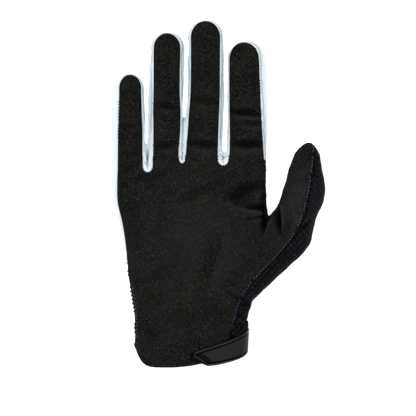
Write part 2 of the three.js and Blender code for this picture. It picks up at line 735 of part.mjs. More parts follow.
// Places from 0 to 1 with a step at the end of each of the tab's levels, and even ones between.
function levelPlaces(key, middleSteps) {
  const edges = TAB_LEVELS.slice(0, -1).flatMap((level) => [level[key], level[key] + LEVEL_STEP]);
  const first = edges[edges.length - 1];
  const middles = [];
  for (let i = 1; i < middleSteps; i += 1) middles.push(first + ((1 - 2 * first) * i) / middleSteps);
  return [0, ...edges, ...middles, ...edges.toReversed().map((at) => 1 - at), 1];
}

// The tab: a slab with a raised rim, a sunk border inside it and a flat field.
function tabSolid() {
  const base = SEAT_GAP + STRAP_THICKNESS + SEAT_GAP;
  const columns = levelPlaces("fromEnd", 14);
  const rows = levelPlaces("fromEdge", 2);
  return sheetOnWrist(columns.length, rows.length, (c, r) => {
    const angle = slantedAngle(TAB_START, TAB_TIP, TAB_SLANT, columns[c], rows[r]);
    const toEnd = Math.min(columns[c], 1 - columns[c]);
    const toEdge = Math.min(rows[r], 1 - rows[r]);
    const level = TAB_LEVELS.find(({ fromEnd, fromEdge }) => toEnd <= fromEnd || toEdge <= fromEdge);
    const along = strapAlong(angle, rows[r], "tabLow", "tabHigh");
    return { angle, along, low: base, high: base + TAB_THICKNESS + level.height };
  });
}

// Back to a three.js mesh with a finish of its own.
function pieceMesh(name, solid, colour, roughness) {
  const made = solid.getMesh();
  const geometry = new THREE.BufferGeometry();
  const corners = [];
  for (let i = 0; i < made.numVert; i += 1) {
    corners.push(...made.vertProperties.slice(i * made.numProp, i * made.numProp + 3));
  }
  geometry.setAttribute("position", new THREE.Float32BufferAttribute(corners, 3));
  geometry.setIndex([...made.triVerts]);
  geometry.computeVertexNormals();
  const material = new THREE.MeshStandardMaterial({ color: colour, roughness, metalness: 0 });
  const mesh = new THREE.Mesh(geometry, material);
  mesh.name = name;
  return mesh;
}

const SUEDE = { colour: 0x1d1d1c, roughness: 0.95 };
const STRETCH_CLOTH = { colour: 0xe9f1f5, roughness: 0.7 };
const RIPSTOP = { colour: 0x141316, roughness: 0.8 };
const WEBBING = { colour: 0x111111, roughness: 0.85 };
const RUBBER = { colour: 0x252625, roughness: 0.5 };

const shell = gloveShell();
const front = prism(frontOutline(0), SUEDE_HEIGHT, CEILING);
const frontCut = prism(frontOutline(SEAM_GAP), SUEDE_HEIGHT - SEAM_GAP, CEILING + 1);
const thumbBack = prism(thumbBackOutline(0), -BEYOND, CEILING);
const thumbBackCut = prism(thumbBackOutline(SEAM_GAP), -BEYOND - 1, CEILING + 1);
const strips = [0, 1, 2].map((i) => prism(stripOutline(i, -SEAM_GAP / 2), STRIP_HEIGHT, CEILING));
const stripCuts = [0, 1, 2].map((i) =>
  prism(stripOutline(i, SEAM_GAP / 2), STRIP_HEIGHT - SEAM_GAP, CEILING + 1),
);

const behind = shell.subtract(frontCut);
const closed = stripCuts.reduce((rest, cut) => rest.subtract(cut), behind.subtract(thumbBackCut));
const wristBox = (length) => {
  const reach = 2 * KNUCKLE_WIDTH;
  const corners = [[-reach, -BEYOND], [reach, -BEYOND], [reach, length], [-reach, length]];
  return prism(corners.map(([x, y]) => new THREE.Vector2(x, y)), -BEYOND, CEILING);
};

const glove = new THREE.Group();
const add = (name, solid, finish) => glove.add(pieceMesh(name, solid, finish.colour, finish.roughness));
add("palm_panel", shell.intersect(front), SUEDE);
add("back_panel", closed.subtract(wristBox(CUFF_BACK_LENGTH + SEAM_GAP)), STRETCH_CLOTH);
add("cuff_back_panel", closed.intersect(wristBox(CUFF_BACK_LENGTH)), RIPSTOP);
add("thumb_back_panel", behind.intersect(thumbBack), RIPSTOP);
FINGERS.slice(1).forEach((finger, i) => {
  add(`fourchette_${FINGERS[i].name}_${finger.name}`, behind.intersect(strips[i]), STRETCH_CLOTH);
});
add("wrist_strap", strapSolid(), WEBBING);
add("hook_pad", padSolid(), WEBBING);
add("strap_tab", tabSolid(), RUBBER);

const box = new THREE.Box3().setFromObject(glove);
const base = box.getCenter(new THREE.Vector3()).setZ(box.min.z);
glove.position.copy(base.negate());

export default glove;
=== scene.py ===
# %% [markdown]
# # A riding glove, palm up
# The real glove is cut from flat panels: one piece of black synthetic suede for the palm and the
# fronts of the fingers and thumb, white stretch cloth for the back, narrow white strips between the
# fingers, ripstop behind the thumb, and a strap with a moulded rubber tab round the wrist. The plan
# is the glove maker's, the other way round: first one smooth skin in the shape of the filled glove,
# then a cut of that skin along the seams, then thickness, puckers, thread and finishes.

# %% Load the frame
import math

import bpy
import numpy as np
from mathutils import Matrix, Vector
from mathutils.bvhtree import BVHTree
from mathutils.kdtree import KDTree


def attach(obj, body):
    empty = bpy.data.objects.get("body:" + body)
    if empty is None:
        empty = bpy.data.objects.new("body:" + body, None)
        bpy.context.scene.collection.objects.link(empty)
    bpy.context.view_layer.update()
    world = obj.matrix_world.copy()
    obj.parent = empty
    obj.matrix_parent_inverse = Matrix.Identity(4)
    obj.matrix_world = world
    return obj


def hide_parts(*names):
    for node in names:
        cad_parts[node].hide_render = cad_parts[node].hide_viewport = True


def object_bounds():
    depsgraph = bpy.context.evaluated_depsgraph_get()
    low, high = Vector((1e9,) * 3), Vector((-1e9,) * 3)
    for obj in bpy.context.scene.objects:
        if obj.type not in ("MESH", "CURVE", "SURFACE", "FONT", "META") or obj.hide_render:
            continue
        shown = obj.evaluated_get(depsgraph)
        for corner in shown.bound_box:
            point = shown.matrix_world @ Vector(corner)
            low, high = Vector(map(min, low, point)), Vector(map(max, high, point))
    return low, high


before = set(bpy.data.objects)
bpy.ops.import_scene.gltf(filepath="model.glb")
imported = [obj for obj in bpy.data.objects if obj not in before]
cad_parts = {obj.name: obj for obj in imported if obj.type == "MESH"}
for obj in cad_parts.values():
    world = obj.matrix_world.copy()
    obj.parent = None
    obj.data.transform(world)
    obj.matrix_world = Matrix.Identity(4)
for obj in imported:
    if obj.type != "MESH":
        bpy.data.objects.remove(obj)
cad_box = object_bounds()
print("CAD box", [[round(v, 4) for v in corner] for corner in cad_box])

# %% [markdown]
# A glove's pattern is drafted from the wrist, so the sizes below are in millimetres from the middle
# of the cuff's edge: x towards the thumb, y towards the fingertips, z up from the table. The frame's
# own box says where that point is. Blender works in metres, so one function turns points over.

# %% The hand's own frame
MM = 0.001
HAND_LEFT = 50.48  # from the middle of the cuff's edge to the little finger's side of the knuckles
HAND_ORIGIN = np.array([cad_box[0][0] / MM + HAND_LEFT, cad_box[0][1] / MM, 0.0])


def to_frame(points):
    return (np.asarray(points, float) + HAND_ORIGIN) * MM


print("hand origin in the frame, mm", HAND_ORIGIN.round(2))

# %% [markdown]
# The sizes come from tables, like a tailor's chart. A value between two rows is read off a smooth
# curve (a cubic through the neighbouring rows), so few rows give a soft outline.

# %% Reading a table


def table(names, *rows):
    """Rows with named columns."""
    return [dict(zip(names.split(), row)) for row in rows]


def column(rows, key, at):
    """One column of a table at many places, on a smooth curve through its rows."""
    x = np.array([row["at"] for row in rows], float)
    y = np.array([row[key] for row in rows], float)
    slope = np.gradient(y, x)
    slope[1:-1] = (y[2:] - y[:-2]) / (x[2:] - x[:-2])
    at = np.clip(np.asarray(at, float), x[0], x[-1])
    i = np.clip(np.searchsorted(x, at, side="right") - 1, 0, len(x) - 2)
    span = x[i + 1] - x[i]
    t = (at - x[i]) / span
    rise = y[i + 1] - y[i]
    start, end = slope[i] * span, slope[i + 1] * span
    return y[i] + t * start + t**2 * (3 * rise - 2 * start - end) + t**3 * (start + end - 2 * rise)


def smooth_step(x, low, high):
    t = np.clip((np.asarray(x, float) - low) / (high - low), 0, 1)
    return t * t * (3 - 2 * t)


print("half way up a smooth step:", smooth_step(0.5, 0, 1))

# %% Sizes of the palm
SEAT_GAP = 0.3  # between a piece of the strap and what it lies on
STRAP_THICKNESS = 1.5
STACK = STRAP_THICKNESS + SEAT_GAP  # the wrist rests on the strap
PALM_LENGTH = 130.0  # from the cuff's edge to the crotches of the fingers
WEB_LENGTH = 9.0
CUFF_CURVE = 12.0  # how far the sides of the cuff's edge stand back from its lowest point
# At is the distance from the cuff, left and right the half widths, depth the height of the section,
# lift its height over the table, and curve how far its sides stand back along the hand.
PALM_ROWS = table(
    "at left right depth lift curve",
    (0, 36.6, 33.4, 24.0, STACK, CUFF_CURVE),
    (15.6, 36.3, 34.4, 24.0, STACK, CUFF_CURVE),
    (28.6, 36.5, 36.4, 24.0, STACK, 7.2),
    (39.0, 37.3, 38.2, 25.5, STACK, 2.4),
    (52.0, 39.1, 39.3, 27.8, 0.5, 0),
    (75.4, 43.1, 42.5, 29.0, 0, 0),
    (93.6, 46.6, 48.4, 27.0, 0, 0),
    (106.6, 49.9, 47.4, 23.0, 0, 0),
    (120.9, 50.5, 47.2, 21.2, 0, 0),
    (130.0, 49.9, 46.6, 18.4, 0, 0),
)
print("the palm is", PALM_LENGTH, "mm long")

# %% Sizes of the fingers
FINGER_DEPTH = 17.0
FINGER_CURL = 3.5  # how far the longest fingertip is raised
FINGER_ROOT = 20.0  # how far a finger's tube starts inside the palm
DEPTH_ROWS = table(
    "at depth",
    (-20, 0.94),
    (0, 1.04),
    (18, 0.98),
    (37, 1.0),
    (55, 0.94),
    (94, 0.92),
)
# For each finger, from the little one to the index: at is the distance from the cuff, out the two
# sides of the finger, and cut the two edges of the suede. Crotch is where the suede's notch on the
# thumb side of the finger ends.
LITTLE_ROWS = table(
    "at out_left cut_left cut_right out_right",
    (130, -50.4, -47.6, -31.6, -29.5),
    (141, -51.0, -47.5, -31.6, -29.9),
    (152, -52.0, -47.3, -31.6, -30.3),
    (164, -52.2, -46.9, -32.0, -30.3),
    (178, -50.2, -46.6, -32.4, -30.7),
)
RING_ROWS = table(
    "at out_left cut_left cut_right out_right",
    (130, -28.6, -25.0, -8.5, -5.6),
    (141, -28.4, -24.9, -8.4, -5.2),
    (152, -28.1, -24.8, -7.5, -4.9),
    (164, -28.1, -25.0, -7.3, -5.8),
    (180, -27.7, -24.7, -7.8, -5.4),
    (204, -26.6, -24.7, -7.3, -4.6),
)
MIDDLE_ROWS = table(
    "at out_left cut_left cut_right out_right",
    (130, -6.9, -4.6, 16.3, 19.0),
    (141, -6.4, -3.8, 16.6, 19.3),
    (152, -5.9, -2.9, 16.9, 19.8),
    (162, -4.3, -2.3, 17.3, 20.0),
    (174, -3.1, -1.3, 17.8, 20.6),
    (190, -2.7, -0.9, 17.9, 20.4),
    (212, -2.8, -0.9, 18.1, 20.5),
)
INDEX_ROWS = table(
    "at out_left cut_left cut_right out_right",
    (130, 21.0, 23.2, 46.4, 47.6),
    (141, 21.8, 23.9, 45.7, 47.7),
    (152, 22.4, 24.0, 45.0, 48.2),
    (164, 22.7, 23.8, 44.2, 48.4),
    (180, 22.6, 23.7, 43.6, 47.9),
    (198, 22.6, 23.7, 42.8, 46.9),
)
FINGERS = [
    {"rows": LITTLE_ROWS, "tip": 189.5, "crotch": 125.8},
    {"rows": RING_ROWS, "tip": 216.0, "crotch": 131.4},
    {"rows": MIDDLE_ROWS, "tip": 223.8, "crotch": 130.1},
    {"rows": INDEX_ROWS, "tip": 210.2, "crotch": 130.0},
]
LITTLE_CROTCH = 129.0  # where the little finger's outer edge leaves the palm
TIP_MARGIN = 1.1  # from the fingertip to the suede's edge
print("the longest finger ends at", max(finger["tip"] for finger in FINGERS), "mm")

# %% Sizes of the thumb
# The thumb's middle line, the distances from it to both sides, and where the suede's seam crosses.
THUMB_ROWS = table(
    "at x y left right depth lift seam",
    (0.0, 14, 36, 11, 11, 22.5, 2.2, 11),
    (0.2, 32, 55.2, 13.2, 13.0, 24.8, 1.5, 4.4),
    (0.42, 52, 77.5, 15, 15.4, 25.3, 0.9, 4.6),
    (0.52, 60.6, 88, 14.8, 16.9, 24.2, 0.9, 4.4),
    (0.62, 66.6, 99.8, 12.8, 13.2, 22.5, 1.2, 4),
    (0.76, 71.6, 115, 12.5, 13.7, 22, 1.8, 2.6),
    (0.9, 73.6, 130.8, 10.2, 9.4, 19.5, 2.4, 3),
    (1.0, 74.6, 144.6, 5.8, 6.0, 16, 3.0, 3),
)
THUMB_ROUND = 8.0  # how long its rounded end is
print("the thumb ends at", THUMB_ROWS[-1]["y"], "mm")

# %% [markdown]
# Every cross-section is a superellipse: rounder than a box, fuller than an ellipse. The palm side is
# round, and the back is squarer and pressed flat, because the glove lies on it.

# %% One cross-section
SIDE_ROUNDNESS = 2.3
BACK_ROUNDNESS = 3.4
BACK_PRESS = 1.1
WAIST = 0.42  # the height of the widest line, as a share of the depth
CUFF_LOW = -0.4  # where the cuff's edge is lowest, from -1 at the little finger's side to 1
CUFF_SQUARENESS = 5.5  # how sudden its rounded corner is beside the little finger
CUFF_SLOPE = 1.8  # the same on the thumb's side, where the edge rises slowly


def squared(value, roundness):
    return np.sign(value) * np.abs(value) ** (2 / roundness)


def section(left, right, depth, lift, angle):
    """Across and up of a section's points at some angles from the thumb side."""
    sideways = squared(np.cos(angle), SIDE_ROUNDNESS)
    up = np.sin(angle)
    over = depth * (1 - WAIST) * squared(up, SIDE_ROUNDNESS)
    under = depth * WAIST
    below = np.maximum(under * BACK_PRESS * squared(up, BACK_ROUNDNESS), -under)
    z = lift + under + np.where(up > 0, over, below)
    return np.where(sideways > 0, right, left) * sideways, z, sideways


def cuff_curve(curve, sideways):
    """How far along the hand a point stands back from the lowest point of the cuff's edge."""
    side = np.where(sideways < CUFF_LOW, -1.0, 1.0)
    share = (sideways - CUFF_LOW) / (side - CUFF_LOW)
    return curve * share ** np.where(side < 0, CUFF_SQUARENESS, CUFF_SLOPE)


print("the cuff's edge stands back by", cuff_curve(CUFF_CURVE, np.array([-1, 0, 1])).round(1), "mm")

# %% The palm's sections
SIDES = 120  # points round each section
ANGLES = np.linspace(0, 2 * np.pi, SIDES, endpoint=False)
CUFF_EXTRA = 16.0  # the skin runs this far past the cuff's edge, and is trimmed there later
PALM_STATIONS = 90
WEB_TURNS = np.linspace(0, math.pi / 2.3, 12)[1:]  # the web's round ends before it is quite flat


def palm_section(station):
    return [column(PALM_ROWS, key, station) for key in ("left", "right", "depth", "lift", "curve")]


def palm_rings():
    rings = []
    for station in np.linspace(-CUFF_EXTRA, PALM_LENGTH, PALM_STATIONS):
        left, right, depth, lift, curve = palm_section(station)
        across, z, sideways = section(left, right, depth, max(float(lift), 0), ANGLES)
        y = station + cuff_curve(curve, sideways)
        rings.append(np.stack([across, y, z], axis=1))
    left, right, depth, lift, curve = palm_section(PALM_LENGTH)
    for turn in WEB_TURNS:
        low = depth * math.cos(turn)
        across, z, _ = section(left, right, low, WAIST * (depth - low), ANGLES)
        y = np.full(SIDES, PALM_LENGTH + WEB_LENGTH * math.sin(turn))
        rings.append(np.stack([across, y, z], axis=1))
    return rings


print("palm sections:", len(palm_rings()))

# %% The fingers' sections
FINGER_STATIONS = 60
TIP_TURNS = np.linspace(0, math.pi / 2.05, 16)[1:]  # a tip's last ring has some width left


def finger_at(finger, y):
    """The middle and the half width of a finger at a distance from the cuff."""
    left, right = column(finger["rows"], "out_left", y), column(finger["rows"], "out_right", y)
    return (left + right) / 2, (right - left) / 2


def tip_start(finger):
    """Where a finger's rounded end starts."""
    return finger["tip"] - float(finger_at(finger, finger["tip"])[1])


def curl_share(y):
    """How much of the curl is reached at a distance from the cuff."""
    return np.clip((y - PALM_LENGTH) / (FINGERS[2]["tip"] - PALM_LENGTH), 0, 1) ** 2


def finger_rings(finger):
    start, tip = tip_start(finger), finger["tip"]
    places = [(y, 1.0) for y in np.linspace(PALM_LENGTH - FINGER_ROOT, start, FINGER_STATIONS)]
    for turn in TIP_TURNS:
        places.append((start + (tip - start) * math.sin(turn), math.cos(turn)))
    rings = []
    for y, closing in places:
        x, half = finger_at(finger, y)
        full = FINGER_DEPTH * column(DEPTH_ROWS, "depth", y - PALM_LENGTH)
        lift = FINGER_CURL * curl_share(y) + WAIST * full * (1 - closing)
        across, z, _ = section(half * closing, half * closing, full * closing, lift, ANGLES)
        rings.append(np.stack([x + across, np.full(SIDES, y), z], axis=1))
    return rings


print("rounded fingertips start at", [round(tip_start(finger), 1) for finger in FINGERS])

# %% The thumb's sections
THUMB_STATIONS = 70


def thumb_at(share):
    """Middle point, sideways direction and the other columns at a share of the thumb's path."""
    at = {key: column(THUMB_ROWS, key, share) for key in THUMB_ROWS[0] if key != "at"}
    before, after = max(share - 0.02, 0), min(share + 0.02, 1)
    ahead = [column(THUMB_ROWS, key, after) - column(THUMB_ROWS, key, before) for key in "xy"]
    ahead = np.array(ahead) / np.hypot(*ahead)
    at["across"] = np.array([ahead[1], -ahead[0]])
    return at


def thumb_rings():
    first, last = THUMB_ROWS[0], THUMB_ROWS[-1]
    round_share = THUMB_ROUND / math.hypot(last["x"] - first["x"], last["y"] - first["y"])
    places = [(s, 1.0) for s in np.linspace(0, 1 - round_share, THUMB_STATIONS)]
    for turn in TIP_TURNS:
        places.append((1 - round_share + round_share * math.sin(turn), math.cos(turn)))
    rings = []
    for share, closing in places:
        at = thumb_at(share)
        depth = at["depth"] * closing
        lift = at["lift"] + WAIST * (at["depth"] - depth)
        across, z, _ = section(at["left"] * closing, at["right"] * closing, depth, lift, ANGLES)
        x = at["x"] + across * at["across"][0]
        y = at["y"] + across * at["across"][1]
        rings.append(np.stack([x, y, z], axis=1))
    return rings


print("thumb sections:", len(thumb_rings()))

# %% [markdown]
# The palm, four fingers and thumb are six closed tubes that run into each other. A voxel remesh
# melts them into one watertight skin, as modelling clay would, and a little smoothing rounds the
# crotches where the tubes meet. The grid has to be finer than the gaps between the fingers, or the
# fingers would grow together.

# %% One skin out of six tubes
VOXEL = 0.74  # mm, the side of one cell of the grid
SMOOTH_STEPS = 10


def tube(rings, points, faces):
    """Adds a closed tube through a list of rings to lists of points and faces."""
    base = sum(len(p) for p in points)
    points.append(np.concatenate(rings))
    i = np.arange(SIDES)
    j = (i + 1) % SIDES
    for r in range(len(rings) - 1):
        a = base + r * SIDES
        faces += np.stack([a + i, a + j, a + SIDES + j, a + SIDES + i], axis=1).tolist()
    faces.append((base + i[::-1]).tolist())
    faces.append((base + (len(rings) - 1) * SIDES + i).tolist())


def applied_mesh(obj):
    """The mesh of an object with its modifiers applied, as points in mm and triangles."""
    shown = obj.evaluated_get(bpy.context.evaluated_depsgraph_get())
    mesh = shown.to_mesh()
    mesh.calc_loop_triangles()
    points = np.empty(len(mesh.vertices) * 3)
    mesh.vertices.foreach_get("co", points)
    triangles = np.empty(len(mesh.loop_triangles) * 3, int)
    mesh.loop_triangles.foreach_get("vertices", triangles)
    shown.to_mesh_clear()
    return points.reshape(-1, 3) / MM - HAND_ORIGIN, triangles.reshape(-1, 3)


def make_skin():
    points, faces = [], []
    for rings in [palm_rings(), thumb_rings()] + [finger_rings(f) for f in FINGERS]:
        tube(rings, points, faces)
    mesh = bpy.data.meshes.new("skin")
    mesh.from_pydata(to_frame(np.concatenate(points)).tolist(), [], faces)
    obj = bpy.data.objects.new("skin", mesh)
    bpy.context.scene.collection.objects.link(obj)
    remesh = obj.modifiers.new("melt", "REMESH")
    remesh.mode = "VOXEL"
    remesh.voxel_size = VOXEL * MM
    smooth = obj.modifiers.new("soften", "SMOOTH")
    smooth.factor = 0.5
    smooth.iterations = SMOOTH_STEPS
    result = applied_mesh(obj)
    bpy.data.objects.remove(obj)
    return result


skin_points, skin_triangles = make_skin()
print("skin:", len(skin_points), "points,", len(skin_triangles), "triangles")
print("skin box, mm", skin_points.min(0).round(1), skin_points.max(0).round(1))

# %% Normals of the skin


def normals_of(points, triangles):
    corner = points[triangles]
    face = np.cross(corner[:, 1] - corner[:, 0], corner[:, 2] - corner[:, 0])
    total = np.zeros_like(points)
    for k in range(3):
        np.add.at(total, triangles[:, k], face)
    return total / np.maximum(np.linalg.norm(total, axis=1, keepdims=True), 1e-12)


skin_normals = normals_of(skin_points, skin_triangles)
print("points that face up:", int((skin_normals[:, 2] > 0).sum()))

# %% [markdown]
# Suede creases where the hand bends: at the finger joints, across the palm and, deepest, at the web
# of the thumb. Each fold is a lens-shaped dent along a line, with the cloth that it displaces
# standing up in a soft ridge on one side. Each fold also leaves a number that the finish reads as
# painted shade, dark in the crease, and as painted light, pale on the ridge.

# %% Folds
# Drawn from above. The sharp flank is on the left of the way from start to end, and the soft one on
# the right: both are widths. Dark is the strength of the painted shade in the crease and of the
# painted light on its ridge. The wedges at the web of the thumb start full at the glove's edge; the
# other folds run out at both ends.
WEDGES = table(
    "x y to_x to_y depth soft sharp dark",
    (55.6, 104.5, 57.2, 85.5, 4.4, 5.2, 0.7, 1.4),
    (49.9, 99.8, 45.4, 86.0, 3.4, 4.0, 0.7, 1.3),
    (49.6, 101.6, 25.0, 105.0, 2.2, 3.8, 1.3, 1.1),
    (48.6, 98.2, 33.0, 95.0, 1.3, 1.5, 1.0, 0.6),
)
FOLDS = table(
    "x y to_x to_y depth soft sharp dark",
    # beside the web of the thumb
    (63.0, 100.5, 58.5, 84.0, 1.0, 2.8, 2.2, 0.3),
    (47.2, 120.0, 48.8, 100.0, 0.6, 4.4, 1.2, 0.8),
    # creases of the palm
    (47.0, 119.0, 20.0, 108.5, 1.8, 4.6, 3.0, 0.8),
    (42.0, 110.0, 24.0, 107.5, 1.4, 3.0, 2.2, 0.6),
    (-40.0, 119.0, -12.0, 128.0, 0.8, 2.8, 2.8, 0.3),
    (-12.0, 106.0, 18.0, 120.0, 0.8, 3.4, 3.0, 0.3),
    (20.0, 92.0, 4.0, 46.0, 0.8, 4.4, 3.6, 0.2),
    (-8.0, 66.0, -30.0, 58.0, 0.7, 4.4, 4.0, 0.2),
    # the root of the thumb, where it bends towards the strap, and its joints
    (22.0, 50.0, 37.0, 41.0, 1.2, 2.4, 1.4, 0.4),
    (26.0, 37.0, 34.0, 32.0, 1.0, 1.6, 1.2, 0.4),
    (67.0, 88.3, 75.5, 95.3, 1.5, 1.6, 1.0, 0.9),
    (64.0, 121.0, 80.0, 124.0, 0.6, 2.2, 1.8, 0.2),
    # finger joints: index, middle, ring and little finger
    (46.0, 162.5, 22.0, 164.5, 1.7, 3.4, 1.7, 0.9),
    (47.0, 156.5, 30.0, 158.6, 1.0, 1.4, 1.6, 0.6),
    (48.0, 143.5, 22.5, 144.5, 1.6, 3.2, 2.6, 0.8),
    (18.5, 170.5, -2.0, 172.5, 1.0, 2.6, 2.0, 0.5),
    (17.5, 143.0, -4.0, 145.0, 1.3, 3.2, 2.4, 0.7),
    (-7.0, 167.0, -25.0, 169.0, 1.1, 2.6, 1.8, 0.5),
    (-7.0, 144.5, -24.0, 142.0, 1.2, 3.0, 2.0, 0.6),
    (-47.0, 155.0, -33.0, 156.5, 0.7, 2.2, 1.6, 0.4),
    (-47.0, 137.0, -34.0, 139.0, 0.8, 2.6, 2.0, 0.3),
    # the pinched cloth in the crotches between the fingers, with painted shade in the pinches and, in
    # the first, a dark painted shadow where the gap between the fingers closes
    (-28.4, 141.5, -28.6, 130.0, 1.6, 0.8, 0.8, 1.6),
    (-31.0, 133.5, -28.4, 129.8, 0.9, 0.6, 0.5, 0.7),
    (-26.2, 131.5, -29.2, 128.6, 0.8, 0.5, 0.5, 0.6),
    (-5.1, 168.0, -6.4, 132.5, 0.8, 0.5, 0.5, 0.9),
    (-8.0, 137.5, -5.6, 134.0, 0.8, 0.5, 0.5, 0.7),
    (20.6, 146.0, 19.6, 131.0, 0.9, 0.6, 0.6, 0.5),
    (17.2, 138.5, 21.0, 135.2, 0.9, 0.6, 0.5, 0.7),
    (22.6, 137.5, 18.6, 133.6, 0.9, 0.5, 0.6, 0.7),
)
RIDGE_SHARE = 0.35  # how high the displaced cloth stands beside the sharp flank
RIDGE_PLACE = 2.1  # how far from the fold's line it stands, in widths of that flank
FOLD_END = 0.35  # how wide a fold still is where it runs out, as a share of its width
# Painted light: paler patches where the middle of the palm and the thumb bulge up into the light:
# x, y, radius and how pale.
PAINTED_LIGHT_PATCHES = [
    (4.0, 84.0, 36.0, 0.2), (-12.0, 34.0, 16.0, 0.05), (66.0, 108.0, 22.0, 0.3), (70.0, 94.0, 2.6, 0.5),
]


def fold_heights(xy):
    """The folds' heights at points seen from above, and how much painted shade (-2) or painted light (1)
    lies there.
    """
    height, painted_light_and_shade = np.zeros(len(xy)), np.zeros(len(xy))
    for fold in WEDGES + FOLDS:
        start = np.array([fold["x"], fold["y"]])
        line = np.array([fold["to_x"], fold["to_y"]]) - start
        length = np.hypot(*line)
        side = np.array([-line[1], line[0]]) / length
        offset = xy - start
        along = offset @ line / length**2
        inside = np.clip(along, 0, 1)
        swell = np.cos(np.pi / 2 * inside) if fold in WEDGES else np.sin(np.pi * inside)
        lens = np.sqrt(np.maximum(swell, 0)) * ((along > 0) & (along < 1))
        width = np.where(offset @ side > 0, fold["sharp"], fold["soft"])
        across = offset @ side / (width * (FOLD_END + (1 - FOLD_END) * lens))
        valley = np.exp(-(across**2)) * lens
        ridge = RIDGE_SHARE * np.exp(-((across - RIDGE_PLACE) ** 2)) * lens
        height += fold["depth"] * (ridge - valley)
        # painted shade down the crease, and painted light along its ridge
        painted_light_and_shade += fold["dark"] * (ridge - np.exp(-((across / 0.95) ** 4)) * lens)
    # painted light on the raised patches
    for x, y, radius, pale in PAINTED_LIGHT_PATCHES:
        painted_light_and_shade += pale * np.exp(-(((xy - [x, y]) ** 2).sum(1) / radius**2))
    return height, np.clip(painted_light_and_shade, -2, 1)


print("folds:", len(WEDGES + FOLDS))

# %% [markdown]
# Filled only with air, cloth also waves between the seams. Long low waves keep the big panels from
# looking moulded.

# %% Waves
WAVES = [(19.0, 0.5, 0.16), (13.0, 2.1, 0.1), (8.5, 1.2, 0.06), (27.0, 2.7, 0.2)]
SIDE_WAVE_HEIGHT, SIDE_WAVE_CROWDING = 0.6, 1.7  # on the sides they are lower and closer together


def wave_height(points):
    """Long low waves: each is a wavelength in mm, a direction and a height in mm."""
    height = np.zeros(len(points))
    for k, (length, direction, size) in enumerate(WAVES):
        run = points[:, 0] * math.cos(direction) + points[:, 1] * math.sin(direction)
        cross = points[:, 1] * math.cos(direction) - points[:, 0] * math.sin(direction)
        height += size * np.sin(2 * np.pi * run / length + 1.3 * np.sin(cross / (0.6 * length) + k))
    return height


upward = smooth_step(skin_normals[:, 2], 0.05, 0.6)
folds, painted_light_and_shade = fold_heights(skin_points[:, :2])
sides_only = smooth_step(skin_points[:, 2], 2.0, 6.0) * (1 - upward)  # not low down, where it lies
pressed = smooth_step(skin_points[:, 1], 15, 45)  # the strap holds the cuff smooth
skin_height = upward * (folds + pressed * wave_height(skin_points))
skin_height += sides_only * SIDE_WAVE_HEIGHT * wave_height(skin_points * SIDE_WAVE_CROWDING)
skin_points = skin_points + skin_normals * skin_height[:, None]
skin_normals = normals_of(skin_points, skin_triangles)
painted_light_and_shade *= upward
print("folds and waves from", skin_height.min().round(2), "to", skin_height.max().round(2), "mm")

# %% [markdown]
# The suede's outline is the pattern piece that gives this glove its look: it follows every finger a
# few millimetres inside its edge, so the white sides show, dips into a U at each crotch, and runs
# down the thumb to the strap. It is drawn from above as one closed line.

# %% The suede's outline


def finger_edge(finger, key, y):
    return np.stack([column(finger["rows"], key, y), y], axis=1)


def fingertip_arc(finger, first, last):
    """The rounded end between the last points of a finger's two edges."""
    turns = np.linspace(math.pi, 0, 26)[1:-1]
    rise = finger["tip"] - TIP_MARGIN - first[1]
    middle, half = (first[0] + last[0]) / 2, (last[0] - first[0]) / 2
    return np.stack([middle + half * np.cos(turns), first[1] + rise * np.sin(turns)], axis=1)


def crotch_arc(start, end, bottom):
    """The U between one finger's edge and the next one's."""
    turns = np.linspace(math.pi, 2 * math.pi, 18)[1:-1]
    middle, half = (start[0] + end[0]) / 2, (end[0] - start[0]) / 2
    top = (start[1] + end[1]) / 2
    return np.stack([middle + half * np.cos(turns), top + (top - bottom) * np.sin(turns)], axis=1)


SEAM_AT_STRAP = np.array([24.4, 25.0])  # where the thumb's seam meets the strap


def thumb_seam():
    """The seam down the thumb and on to the cuff, from above."""
    points = []
    for share in np.linspace(0.985, 0.14, 60):
        at = thumb_at(share)
        points.append(np.array([at["x"], at["y"]]) + at["seam"] * at["across"])
    root = points[-1]
    for share in np.linspace(0, 1, 12)[1:]:
        points.append(root * (1 - share) + SEAM_AT_STRAP * share)
    points += [np.array([23.8, 8.0]), np.array([23.6, -CUFF_EXTRA - 5])]  # on past the cuff's edge
    return np.array(points)


PALM_MARGIN_ROWS = table(
    "at margin",
    (-20, -1.2),
    (50, -1.2),
    (66, 0.3),
    (80, 1.4),
    (110, 2.4),
    (130, 2.6),
)
U_HEIGHT = 4.2  # from the bottom of a crotch's U to where its sides run straight
GAP_X = 56.0  # a line in the open space between the index finger and the thumb


def finger_seam():
    """The suede's edge up the little finger's side, round all the fingers and down the index."""
    stations = np.linspace(-CUFF_EXTRA - 5, PALM_LENGTH - 4, 60)
    edge = -column(PALM_ROWS, "left", stations) + column(PALM_MARGIN_ROWS, "margin", stations)
    line = [np.stack([edge, stations], axis=1)]
    bottoms = [LITTLE_CROTCH] + [f["crotch"] for f in FINGERS]
    for k, finger in enumerate(FINGERS):
        top = tip_start(finger)
        left = finger_edge(finger, "cut_left", np.linspace(bottoms[k] + U_HEIGHT, top, 30))
        right = finger_edge(finger, "cut_right", np.linspace(top, bottoms[k + 1] + U_HEIGHT, 30))
        if k > 0:
            line.append(crotch_arc(line[-1][-1], left[0], bottoms[k]))
        line += [left, fingertip_arc(finger, left[-1], right[0]), right]
    return np.concatenate(line)


def suede_outline():
    seam, top = thumb_seam(), THUMB_ROWS[-1]["y"] + 12
    gap = np.array([[GAP_X, PALM_LENGTH - 1], [GAP_X, top], [seam[0][0], top]])
    return np.concatenate([finger_seam(), gap, seam])


